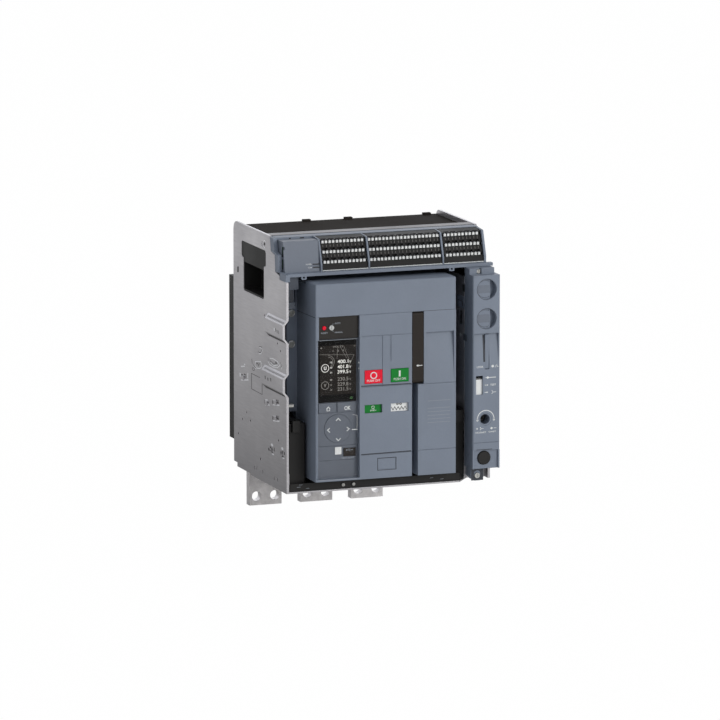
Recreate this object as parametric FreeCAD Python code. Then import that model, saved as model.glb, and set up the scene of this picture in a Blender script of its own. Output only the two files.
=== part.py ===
"""Draw-out air circuit breaker in its chassis, three poles.

Millimetres.  X runs along the front from left to right, with zero on the middle pole.  Y runs from the
front to the rear, with zero at half the depth of the base.  Z runs up from the underside of the base.
"""
import FreeCAD
import Part
import math
import os

# General
clearance = 0.3
running = 0.05

# Poles, which set the width of everything
pole_count = 3
pole_pitch = 70.0
case_margin = 2.0
left_gap = 15.0
right_gap = 11.4
racking_bay_w = 33.6

# Chassis
plate_t = 3.0
chassis_d = 202.0
front_proud = 20.0
right_plate_back = 13.6
rear_step_z = 7.0
rear_step_y = 64.0
plate_corner_r = 12.0

# Heights of the breaker front, from the bottom up
cover_z = 16.5
panel_h = 210.5
band_h = 41.6
carrier_drop = 6.9
carrier_h = 44.0

# Front edge of a side plate, stepped round the terminal carrier
nose_below = 5.5
step_a_y = 25.0
step_a_below = 0.5
step_b_y = 42.0
step_b_up = 2.3
step_c_up = 23.0
step_d_y = 58.5
step_d_up = 26.5
step_e_y = 61.0
step_e_up = 40.5
plate_top_y = 64.0

# Small openings in the side plates
lug_out = 1.5
rear_slot_in = 17.8
rear_slot_z = 255.5

# Window for lifting, with its pocket
flap_t = 1.5
window_y = 77.0
window_behind = 31.5
window_inset = 7.5
window_from_top = 21.5
window_head = 21.0
window_low = 42.5
window_r = 4.5
window_corner = 2.7
flap_hang = 5.2
pocket_d = 22.0
pocket_wall = 2.0
pocket_lip = 5.0

# Pressed guide channels in the side plates
bulge_out = 5.0
bulge_slope = 6.0
bulge_h = 29.4
bulge_sides = 16
upper_bulge_z = 192.0
upper_bulge_len = 81.0
lower_bulge_z = 123.4
lower_bulge_len = 93.5

# Base
base_t = 2.0
base_side_y = 4.0
base_chamfer_x = 47.0
base_chamfer_y = 24.5
base_chamfer_w = 19.0
base_flange_h = 25.0
tray_t = 4.0
tray_lip = 10.0
tray_lip_t = 3.0
tray_inset = 2.0
fixing_x = 170.0
fixing_y = 160.0
fixing_r = 4.5
fixing_access_r = 9.0

# Rails and their guides
guide_wall = 2.5
case_side_gap = 1.0
rail_inset = 5.0
guide_top = 88.0
guide_front = 9.0
rail_x = 110.0
rail_w = 10.0
rail_h = 14.7
rail_top = 92.0
rail_wall = 2.5
rail_short = 3.0
runner_h = 11.7

# Racking gear
racking_travel = 45.0
racking_d = 31.0
racking_z = 19.2
racking_h = 248.6
racking_wall_t = 2.5
racking_front_t = 5.0
racking_wall_top = 262.0
wall_foot = 15.0
bearing_wall = 4.0
bearing_t = 8.0
socket_w = 6.0
nut_len = 24.0
head_back = 13.0
foot_w = 17.0
foot_off = 5.6
foot_z = 2.0
foot_t = 18.0
tongue_len = 16.0
key_flat = 5.5
step_d = 2.5
step_top = 43.0
tab_len = 27.0
pointer_z = 110.0
crank_x = 16.6
crank_z = 83.2
crank_hole_r = 6.5
crank_guide_len = 15.0
screw_r = 6.0
nut_w = 20.0
traveller_t = 3.5
traveller_z = 6.5
traveller_d = 35.0
hook_w = 16.0
hook_t = 6.0
hook_top = 24.0
hook_x = 60.0
hook_back = 16.0
hook_before = 19.0
key_recess_r = 13.0
key_x = 18.6
key_pitch = 37.6
key_top = 17.9
key_depth = 3.0
key_deep = 9.0
key_boss_r = 15.0
notch_x0 = 9.8
notch_x1 = 16.1
notch_drop = 7.2
notch_deep = 4.0
flag_window_w = 9.3
flag_window_h = 24.4
flag_window_x = 4.3
flag_window_z = 114.9
flag_travel = 16.0
flag_t = 1.5
tab_x = 19.3
tab_w = 5.2
tab_z = 147.6
tab_h = 44.4
release_r = 8.75
release_x = 16.0
release_z = 33.1

# Rear contacts and terminals
lower_z = 112.0
terminal_gap = 110.0
bar_w = 44.0
bar_t = 10.0
flag_bar_t = 12.0
flag_drop = 61.0
pad_h = 44.0
terminal_hole_r = 6.25
terminal_hole_gap = 25.0
terminal_hole_edge = 12.0
barrier_t = 4.0
barrier_d = 20.0
post_d = 3.5
upper_reach = 27.0
bolt_deep = 8.0
housing_front = 20.0
housing_rear = 20.0
housing_z = 35.0
housing_rim_top = 247.0
housing_top = 262.0
housing_wall = 6.5
mouth_room = 2.5
mouth_h = 38.0
blade_inset = 5.0
cage_t = 1.5
cluster_h = 34.0
cluster_tip = 9.0
finger_count = 4
shutter_t = 2.5
shutter_h = 40.0
shutter_margin = 9.2

# Lid
lid_drop = 6.5
lid_t = 2.5
lid_bumps = (-27.0, 30.0, 138.0)

# Pole case and what it holds
axle_in = 3.5
shaft_room = 13.0
stub_reach = 3.0
chute_inset = 3.0
chute_y0 = -16.0
runner_w = 9.0
case_front = 50.0
case_rear = 41.0
case_split = 0.0
case_step_z = 96.0
case_neck_z = 230.0
case_neck = 12.0
case_low = 13.0
shutter_beyond = 4.7
case_drop = 4.6
case_wall = 6.0
low_chamber_w = 43.0
arm_w = 26.0
arm_t = 12.0
arm_pivot_y = 14.0
arm_pivot_up = 16.0
arm_len = 84.0
arm_open = 22.0
arm_axle_r = 3.0
fixed_leg_h = 26.0
contact_tip_t = 4.0
shaft_y = -30.0
shaft_z = 150.0
shaft_r = 7.0
lever_len = 22.0
shaft_swing = 40.0
lever_t = 6.0
chute_d = 46.0
chute_plates = 6
sensor_d = 16.0
sensor_wall = 7.0

# Spring mechanism behind the front cover
mech_x0 = -31.0
mech_x1 = 49.0
mech_t = 3.0
mech_front = 26.0
mech_z = 60.0
mech_h = 155.0
cam_in = 45.0
cam_shaft_r = 6.0
cam_r = 13.0
spring_r = 11.0
spring_len = 62.0
spring_coils = 6
spring_tube_r = 7.5
ratchet_teeth = 10
ratchet_bite = 1.6
ratchet_t = 5.0
cam_t = 10.0
cam_rise = 4.0
tie_r = 4.0
shaft_lever_y = 6.0
shaft_lever_root = 8.0
shaft_lever_tip = 4.5

# Breaker front cover
panel_t = 3.0
wall_deep = 23.5
channel_deep = 21.0
panel_seam_a = 27.7
panel_seam_b = 92.8
panel_seam_c = 179.3
low_seam_z = 48.9
knock_in = 21.7
knock_z = 27.7
axle_r = 3.0
cover_left = 93.3
strip_w = 4.5
cover_right = 95.3
cover_wall = 2.5
band_top_d = 37.0
seam = 0.8
seam_depth = 0.7
middle_right = 36.0
middle_seam_a = 28.2
middle_seam_b = 39.5
middle_seam_end = 60.7
handle_w = 14.8
handle_x = 44.1
handle_h = 91.2
handle_d = 12.0
handle_axis_back = 6.5
handle_axis_up = 6.7
right_x = 52.0
low_panel_x = 44.2
low_panel_z = 133.8
logo_block_h = 27.3
scoop_depth = 5.0
button_w = 23.7
button_h = 17.0
off_x = -15.85
on_x = 19.45
button_drop = 79.9
button_proud = 0.8
stem_r = 3.0
window_h = 10.8
window_drop = 121.0
indicator_travel = 13.0
knock_w = 24.7
knock_h = 14.4

# Trip unit
trip_front_t = 8.0
upper_panel_h = 29.0
key_pocket = 3.4
key_stem_r = 1.5
reset_in = 8.2
selector_in = 18.0
pad_in = 27.5
usb_in = 43.2
hinge_in = 1.8
hinge_r = 1.6
hinge_pin_r = 0.8
hinge_back = 1.7
latch_z = 148.0
door_z0 = 19.6
door_gap = 0.9
trip_back = 7.0
trip_w = 54.4
divider_w = 2.4
trip_d = 45.0
display_top = 30.0
display_h = 80.0
key_h = 13.0
key_proud = 1.2
key_gap = 0.6
pad_r = 18.0
pad_gap = 2.7
reset_r = 2.65
selector_r = 3.15
reset_drop = 14.6
usb_w = 16.0
usb_h = 10.5
usb_gap = 7.95
clear_t = 1.5

# Terminal carrier and its blocks
lip_y = 5.6
shelf_t = 3.0
block_front_y = 21.0
block_kink = 11.0
block_lean = 10.6
block_face_h = 31.1
rail_top_y = 51.0
carrier_back_y = 67.0
crossbar_d = 18.0
module_w = 47.0
module_x = 3.4
pair_pitch = 9.7
pair_counts = (6, 10, 5)
rib_t = 2.0
rib_from_pole = (-70.2, -6.3, 93.7)
tile_deep = 2.0
eyelet_x = 99.3
hanger_x = -113.2
hanger_y = 11.0
hanger_d = 30.0
hanger_stem_d = 16.0
hanger_top = 16.5
hanger_low = 33.5
hanger_foot = 41.0
tray_screws = (-48.8, -34.9)
tray_screw_r = 2.0
tray_screw_drop = 5.0
row_count = 3
row_pitch = 12.3
row_first = 10.5
tile_w = 2.9
tile_h = 3.3
tile_gap = 4.65
tile_proud = 0.6
wire_hole = 2.4

# Screw sizes
screw_head_r = 3.6
screw_head_h = 2.2
bolt_r = 5.8
bolt_head_r = 9.0
bolt_head_h = 7.5
washer_t = 2.0
slot_w = 0.8
flange_screw_in = 6.0
flange_screw_drop = 7.6
flange_screw_pitch = 39.6

# Places worked out from the sizes
case_half = pole_count * pole_pitch / 2 + case_margin
poles = [(i - (pole_count - 1) / 2) * pole_pitch for i in range(pole_count)]
left_in = -(case_half + left_gap)
left_out = left_in - plate_t
bay_right = case_half + right_gap
right_in = bay_right + racking_bay_w
right_out = right_in + plate_t
front_y = -chassis_d / 2
back_y = chassis_d / 2
face_y = front_y - front_proud
band_z = cover_z + panel_h
cover_top = band_z + band_h
lip_z = cover_top + carrier_drop
plate_h = lip_z + carrier_h + 1.0
step_b_z = lip_z + step_b_up
step_c_z = lip_z + step_c_up
step_d_z = lip_z + step_d_up
step_e_z = lip_z + step_e_up
nose_h = lip_z - nose_below
window_top = plate_h - window_from_top
window_shoulder = window_top - window_head
window_bottom = window_shoulder - window_low
window_w = chassis_d - window_y - window_behind
cam_y = face_y + cam_in
upper_z = lower_z + terminal_gap
cluster_w = bar_w + 2 * cage_t
mouth_w = cluster_w + 2 * mouth_room
chamber_w = bar_w + 2 * sensor_wall
chute_w = bar_w - 2 * chute_inset
house_y = back_y - housing_front
house_back = back_y + housing_rear
case_y0 = front_y + case_front
case_y1 = back_y - case_rear
case_top = cover_top - case_drop
crank_at = bay_right + crank_x
foot_at = crank_at - foot_off
racking_rear = face_y + racking_d
flag_y = house_back + 14.6
tray_top = base_t + tray_t
guide_end = house_y - post_d - 3.5
rail_len = guide_end - rail_short - front_y - rail_inset
screw_end = guide_end - 4.0
shutter_half = case_half + shutter_beyond
hook_y = case_y1 - hook_back
traveller_y0 = hook_y - hook_before
bolt_z = lower_z - bar_t / 2 + pad_h / 2
case_low_half = case_half - case_low
case_neck_half = case_half - case_neck
arm_y = arm_pivot_y
arm_z = lower_z + arm_pivot_up
trip_x0 = -cover_left + strip_w
trip_x1 = trip_x0 + trip_w
trip_y = face_y + trip_back
carrier_back = front_y + carrier_back_y
carrier_top = lip_z + carrier_h
shelf_z = lip_z + shelf_t
rib_xs = rib_from_pole
handle_y = face_y + handle_axis_back
handle_z = low_panel_z + 1.0 + handle_axis_up
display_z0 = band_z - display_top - display_h
pad_x = trip_x0 + pad_in
key_z0 = display_z0 - key_gap - key_h
pad_z = key_z0 - pad_gap - pad_r
reset_x = trip_x0 + reset_in
selector_x = trip_x0 + selector_in
reset_z = band_z - reset_drop
usb_x = trip_x0 + usb_in
usb_z = pad_z - pad_r - usb_gap - usb_h / 2
door_z1 = band_z - upper_panel_h - door_gap


def vec(x, y, z):
    return FreeCAD.Vector(x, y, z)


def block(x0, x1, y0, y1, z0, z1):
    return Part.makeBox(x1 - x0, y1 - y0, z1 - z0, vec(x0, y0, z0))


def rod_x(x0, x1, y, z, r):
    return Part.makeCylinder(r, x1 - x0, vec(x0, y, z), vec(1, 0, 0))


def rod_y(x, y0, y1, z, r):
    return Part.makeCylinder(r, y1 - y0, vec(x, y0, z), vec(0, 1, 0))


def rod_z(x, y, z0, z1, r):
    return Part.makeCylinder(r, z1 - z0, vec(x, y, z0), vec(0, 0, 1))


def polygon(u, v, r, sides):
    """Corner points of a regular polygon, flat on its right side."""
    half = math.pi / sides
    return [(u + r * math.cos(half + 2 * half * i), v + r * math.sin(half + 2 * half * i)) for i in range(sides)]


def round_about(r, sides):
    """The corner radius of a polygon that leaves room for a circle of radius r."""
    return r / math.cos(math.pi / sides)


def slab_x(points, x0, x1):
    """A plate across X with an outline of (y, z) points."""
    ring = [vec(x0, y, z) for y, z in points + points[:1]]
    return Part.Face(Part.makePolygon(ring)).extrude(vec(x1 - x0, 0, 0))


def slab_y(points, y0, y1):
    """A plate across Y with an outline of (x, z) points."""
    ring = [vec(x, y0, z) for x, z in points + points[:1]]
    return Part.Face(Part.makePolygon(ring)).extrude(vec(0, y1 - y0, 0))


def slab_z(points, z0, z1):
    """A plate across Z with an outline of (x, y) points."""
    ring = [vec(x, y, z0) for x, y in points + points[:1]]
    return Part.Face(Part.makePolygon(ring)).extrude(vec(0, 0, z1 - z0))


def prism_x(x0, x1, y, z, r, sides=12):
    return slab_x(polygon(y, z, r, sides), x0, x1)


def prism_y(x, y0, y1, z, r, sides=12):
    return slab_y(polygon(x, z, r, sides), y0, y1)


def prism_z(x, y, z0, z1, r, sides=12):
    return slab_z(polygon(x, y, r, sides), z0, z1)


def outer_edges(shape, axis):
    """Straight edges along an axis that lie on the corners of the shape's box."""
    box = shape.BoundBox
    lows = (box.XMin, box.YMin, box.ZMin)
    highs = (box.XMax, box.YMax, box.ZMax)
    others = [i for i in range(3) if i != axis]
    found = []
    for edge in shape.Edges:
        if len(edge.Vertexes) != 2:
            continue
        start = edge.Vertexes[0].Point
        end = edge.Vertexes[1].Point
        straight = all(abs(start[i] - end[i]) < 1e-6 for i in others)
        corner = all(min(abs(start[i] - lows[i]), abs(start[i] - highs[i])) < 1e-6 for i in others)
        if straight and corner:
            found.append(edge)
    return found


def cut_block(x0, x1, y0, y1, z0, z1, size, axis):
    """A block whose four edges along one axis are chamfered."""
    shape = block(x0, x1, y0, y1, z0, z1)
    return shape.makeChamfer(size, outer_edges(shape, axis))


def fuse(shapes):
    return shapes[0].multiFuse(shapes[1:]).removeSplitter()


def save(name, shapes):
    """Write one node, from one solid or from a group of them."""
    whole = Part.makeCompound(shapes) if len(shapes) > 1 else shapes[0]
    whole.exportStep("parts/" + name + ".step")


def pressed_channel(x, out, z0, length, start_y):
    """The raised form of a guide channel, open at the plate's front edge and round at its rear."""
    radius = bulge_h / 2
    back = start_y + length - radius
    bar = slab_y([
        (x, z0),
        (x + out, z0 + bulge_slope),
        (x + out, z0 + bulge_h - bulge_slope),
        (x, z0 + bulge_h),
    ], start_y, back)
    foot = polygon(back, z0 + radius, round_about(radius, bulge_sides), bulge_sides)
    crest = polygon(back, z0 + radius, round_about(radius - bulge_slope, bulge_sides), bulge_sides)
    rings = []
    for at_x, points in ((x, foot), (x + out, crest)):
        rings.append(Part.makePolygon([vec(at_x, y, z) for y, z in points + points[:1]]))
    end = Part.makeLoft(rings, True, True)
    return bar.fuse(end).removeSplitter()


def plate_outline(edge_y):
    """The side plate's outline, with its front edge at edge_y."""
    rear_step = front_y + chassis_d - rear_step_y
    return [
        (edge_y, 0.0),
        (edge_y, nose_h),
        (front_y + step_a_y, nose_h),
        (front_y + step_a_y + 1.0, lip_z - step_a_below),
        (front_y + step_b_y, step_b_z),
        (front_y + step_b_y + 1.5, step_c_z),
        (front_y + step_d_y, step_d_z),
        (front_y + step_e_y, step_e_z),
        (front_y + plate_top_y, plate_h),
        (back_y, plate_h),
        (back_y, rear_step_z),
        (rear_step, rear_step_z),
        (rear_step - 3.0, 0.0),
    ]


def window_cutter(x0, x1, grow):
    """The stepped lifting window, grown by a margin on all sides."""
    y0 = front_y + window_y - grow
    y1 = front_y + window_y + window_w + grow
    top = cut_block(x0, x1, y0, y1, window_shoulder - grow, window_top + grow, window_corner, 0)
    low = cut_block(
        x0, x1, y0 + window_inset, y1 - window_inset,
        window_bottom - grow, window_shoulder + window_r * 2, window_corner, 0)
    return fuse([top, low])


# Small round holes in a side plate, as (distance from the front edge, height, radius)
plate_holes = [
    (82.7, 215.5, 1.6),
    (33.6, 187.4, 1.6),
    (23.0, 179.5, 1.6),
    (152.5, 78.7, 1.6),
    (168.5, 67.3, 1.6),
    (137.8, 70.4, 1.6),
    (184.6, 45.7, 1.8),
    (30.5, 63.6, 1.6),
    (99.8, 27.6, 1.8),
    (84.0, 307.0, 2.4),
    (55.8, 47.3, 2.6),
    (16.1, 50.1, 2.6),
]

# Narrow slots near a side plate's foot, as (distance from the front edge, height)
plate_slots = [(123.5, 12.0), (113.6, 13.0), (91.7, 12.2), (47.3, 12.0), (34.7, 12.0)]

# Small pressed lugs, as (distance from the front edge, height)
plate_lugs = [(74.8, 104.0), (40.8, 110.5), (41.0, 90.5), (165.0, 121.7)]


def side_plate(out_x, side, edge_y):
    """A side plate.  side is -1 on the left and 1 on the right."""
    in_x = out_x - side * plate_t
    x0 = min(out_x, in_x)
    x1 = max(out_x, in_x)
    shape = slab_x(plate_outline(edge_y), x0, x1)
    corner = [e for e in outer_edges(shape, 0) if e.BoundBox.ZMin > plate_h / 2 and e.BoundBox.YMin > 0]
    shape = shape.makeFillet(plate_corner_r, corner)
    for z0, length in ((upper_bulge_z, upper_bulge_len), (lower_bulge_z, lower_bulge_len)):
        reach = length + front_y - edge_y
        shape = shape.fuse(pressed_channel(out_x, side * bulge_out, z0, reach, edge_y))
        shape = shape.cut(pressed_channel(in_x, side * bulge_out, z0, reach, edge_y))
    for from_front, z in plate_lugs:
        y = front_y + from_front
        lug_x0 = min(out_x, out_x + side * lug_out)
        shape = shape.fuse(block(lug_x0, lug_x0 + lug_out, y - 4.0, y + 4.0, z - 2.5, z + 2.5))
    shape = shape.cut(window_cutter(x0 - 1.0, x1 + 1.0, 0.0))
    for from_front, z, radius in plate_holes:
        shape = shape.cut(prism_x(x0 - 1.0, x1 + 1.0, front_y + from_front, z, radius, 6))
    for from_front, z in plate_slots:
        y = front_y + from_front
        shape = shape.cut(block(x0 - 1.0, x1 + 1.0, y - 1.0, y + 1.0, z - 2.5, z + 2.5))
    slot_y = back_y - rear_slot_in
    shape = shape.cut(block(x0 - 1.0, x1 + 1.0, slot_y - 1.3, slot_y + 1.3, rear_slot_z, rear_slot_z + 8.0))
    return shape.removeSplitter()


def lifting_pocket(in_x, side):
    """A moulded pocket that lines the lifting window, with a flap over its upper part."""
    face = in_x + side * (plate_t - 0.5)
    deep = in_x - side * pocket_d
    rim = in_x - side * pocket_wall
    shell = window_cutter(min(face, deep), max(face, deep), -clearance)
    flange = window_cutter(min(in_x, rim), max(in_x, rim), pocket_lip)
    floor = deep + side * pocket_wall
    hollow = window_cutter(min(face + side, floor), max(face + side, floor), -clearance - pocket_wall)
    pocket = shell.fuse(flange).cut(hollow)
    y0 = front_y + window_y + clearance
    y1 = y0 + window_w - 2 * clearance
    back = face - side * flap_t
    flap_z = window_shoulder - flap_hang
    flap = block(min(face, back), max(face, back), y0 + 0.5, y1 - 0.5, flap_z, window_top - 1.0)
    return pocket.fuse(flap.common(shell)).removeSplitter()


def base_plate():
    """The sheet floor of the chassis, with its turned-up edges and fixing holes."""
    y1 = back_y - base_side_y
    chamfer_x0 = right_out - base_chamfer_x
    chamfer_x1 = chamfer_x0 + base_chamfer_w
    chamfer_y = front_y + base_chamfer_y
    outline = [
        (left_in, front_y),
        (chamfer_x0, front_y),
        (chamfer_x1, chamfer_y),
        (right_in, chamfer_y),
        (right_in, y1),
        (left_in, y1),
    ]
    floor = slab_z(outline, 0.0, base_t)
    left = block(left_in, left_in + base_t, front_y + base_side_y, y1, 0.0, base_flange_h)
    right = block(right_in - base_t, right_in, chamfer_y, y1, 0.0, base_flange_h)
    shape = fuse([floor, left, right])
    for x in (-fixing_x / 2, fixing_x / 2):
        for y in (-fixing_y / 2, fixing_y / 2):
            shape = shape.cut(rod_z(x, y, -1.0, base_t + 1.0, fixing_r))
    return shape


def base_tray():
    """The moulded tray that lies on the base plate in front of the rear contacts."""
    x0 = left_in + base_t + clearance
    x1 = bay_right - clearance
    y0 = front_y + tray_inset
    floor = block(x0, x1, y0, guide_end, base_t, tray_top)
    lip = block(x0, x1, y0, y0 + tray_lip_t, base_t, base_t + tray_lip)
    shape = floor.fuse(lip)
    cut_x = right_out - base_chamfer_x
    corner = [(cut_x, y0 - 1.0), (x1 + 1.0, y0 - 1.0), (x1 + 1.0, y0 + x1 - cut_x)]
    shape = shape.cut(slab_z(corner, 0.0, base_t + tray_lip + 1.0))
    for x in (-fixing_x / 2, fixing_x / 2):
        for y in (-fixing_y / 2, fixing_y / 2):
            shape = shape.cut(prism_z(x, y, 0.0, tray_top + 1.0, fixing_access_r))
    return shape.removeSplitter()


def rail_guide(side):
    """A moulded guide block, hollow from below, with the groove for its rail."""
    inner = max(case_low_half, cover_right) + case_side_gap
    outer = -left_in - base_t - clearance if side < 0 else bay_right - clearance
    x0 = min(side * inner, side * outer)
    x1 = max(side * inner, side * outer)
    y0 = front_y + guide_front
    shape = block(x0, x1, y0, guide_end, tray_top, guide_top)
    shape = shape.makeChamfer(2.0, [e for e in outer_edges(shape, 2) if e.BoundBox.YMin < 0])
    hollow_top = rail_top - rail_h - clearance - guide_wall
    shape = shape.cut(block(
        x0 + guide_wall, x1 - guide_wall, y0 + guide_wall, guide_end - guide_wall, tray_top - 1.0, hollow_top))
    groove = rail_w / 2 + clearance
    shape = shape.cut(block(
        side * rail_x - groove, side * rail_x + groove, y0 - 1.0, guide_end + 1.0,
        rail_top - rail_h - clearance, guide_top + 1.0))
    if side > 0:
        shape = shape.cut(block(
            x0 - 1.0, x1 + 1.0, traveller_y0 - racking_travel - 2.0, guide_end - guide_wall - 0.5,
            tray_top - 1.0, traveller_z + traveller_t + 1.0))
    return shape


def extension_rail(side):
    """A channel section rail, open below, that slides in its guide."""
    x0 = side * rail_x - rail_w / 2
    x1 = x0 + rail_w
    y0 = front_y + rail_inset
    shape = block(x0, x1, y0, y0 + rail_len, rail_top - rail_h, rail_top)
    shape = shape.cut(block(
        x0 + rail_wall, x1 - rail_wall, y0 + rail_wall, y0 + rail_len + 1.0,
        rail_top - rail_h - 1.0, rail_top - rail_wall))
    shape = shape.cut(prism_x(x0 - 1.0, x1 + 1.0, y0 + 10.0, rail_top - rail_h / 2, 2.5, 8))
    return shape


def racking_wall():
    """The sheet wall between the breaker's bay and the racking gear, with the screw's rear bearing."""
    x0 = bay_right
    x1 = x0 + racking_wall_t
    y0 = racking_rear
    shape = block(x0, x1, y0, guide_end, base_t, racking_wall_top)
    foot_y0 = front_y + base_chamfer_y
    foot = block(x0, x0 + wall_foot, foot_y0, guide_end, base_t, base_t + racking_wall_t)
    bearing_x1 = crank_at + screw_r + bearing_wall
    bearing = block(
        x0, bearing_x1, screw_end - bearing_t, screw_end, crank_z - screw_r - bearing_wall,
        crank_z + screw_r + bearing_wall)
    shape = fuse([shape, foot, bearing])
    shape = shape.cut(block(
        x0 - 1.0, x1 + 0.01, traveller_y0 - racking_travel - 2.0, traveller_y0 + traveller_d + 2.0,
        tray_top, traveller_z + traveller_t + 1.5))
    shape = shape.cut(rod_y(crank_at, screw_end - bearing_t - 1.0, screw_end + 1.0, crank_z, screw_r + running))
    return shape


def racking_screw():
    """The lead screw, with a square socket in its front end for the crank."""
    y0 = face_y + crank_guide_len + 2.0
    shape = rod_y(crank_at, y0, screw_end, crank_z, screw_r)
    half = socket_w / 2
    shape = shape.cut(block(crank_at - half, crank_at + half, y0 - 1.0, y0 + 9.0, crank_z - half, crank_z + half))
    collar = prism_y(crank_at, racking_rear + clearance, racking_rear + clearance + 4.0, crank_z, screw_r + 2.5)
    return shape.fuse(collar).removeSplitter()


def racking_carriage():
    """The traveller under the breaker, its two hooks and the block threaded on the screw."""
    x1 = crank_at + nut_w / 2
    x0 = -case_low_half + 6.0
    y0 = traveller_y0
    top = traveller_z + traveller_t
    nut_y = y0 + 3.0
    plate = block(x0, x1, y0, y0 + traveller_d, traveller_z, top)
    column = block(x1 - nut_w, x1, nut_y, nut_y + nut_len, top, crank_z + nut_w / 2)
    hollow = block(x1 - nut_w + 3.0, x1 - 3.0, nut_y - 1.0, nut_y + nut_len + 1.0, top + 4.0, crank_z - 16.0)
    bore = rod_y(crank_at, nut_y - 1.0, nut_y + nut_len + 1.0, crank_z, screw_r + running)
    hooks = [
        block(x - hook_w / 2, x + hook_w / 2, hook_y, hook_y + hook_t, top, hook_top)
        for x in (-hook_x, hook_x)
    ]
    return fuse([plate, column] + hooks).cut(hollow).cut(bore)


def scoop(x0, x1, z0, z1, depth):
    """A hollow in the front face, flush at its foot and deepest at its top, curved like a finger dish."""
    foot = vec(x0, face_y, z0)
    middle = vec(x0, face_y + depth * 0.35, (z0 + z1) / 2)
    top = vec(x0, face_y + depth, z1)
    out_top = vec(x0, face_y - 1.0, z1)
    out_foot = vec(x0, face_y - 1.0, z0)
    edges = [
        Part.Arc(foot, middle, top).toShape(),
        Part.LineSegment(top, out_top).toShape(),
        Part.LineSegment(out_top, out_foot).toShape(),
        Part.LineSegment(out_foot, foot).toShape(),
    ]
    return Part.Face(Part.Wire(edges)).extrude(vec(x1 - x0, 0, 0))


def groove_x(x0, x1, z, at_y):
    """A parting seam across the front."""
    return block(x0, x1, at_y - 1.0, at_y + seam_depth, z - seam / 2, z + seam / 2)


def groove_z(x, z0, z1, at_y):
    """A parting seam up the front."""
    return block(x - seam / 2, x + seam / 2, at_y - 1.0, at_y + seam_depth, z0, z1)


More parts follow.
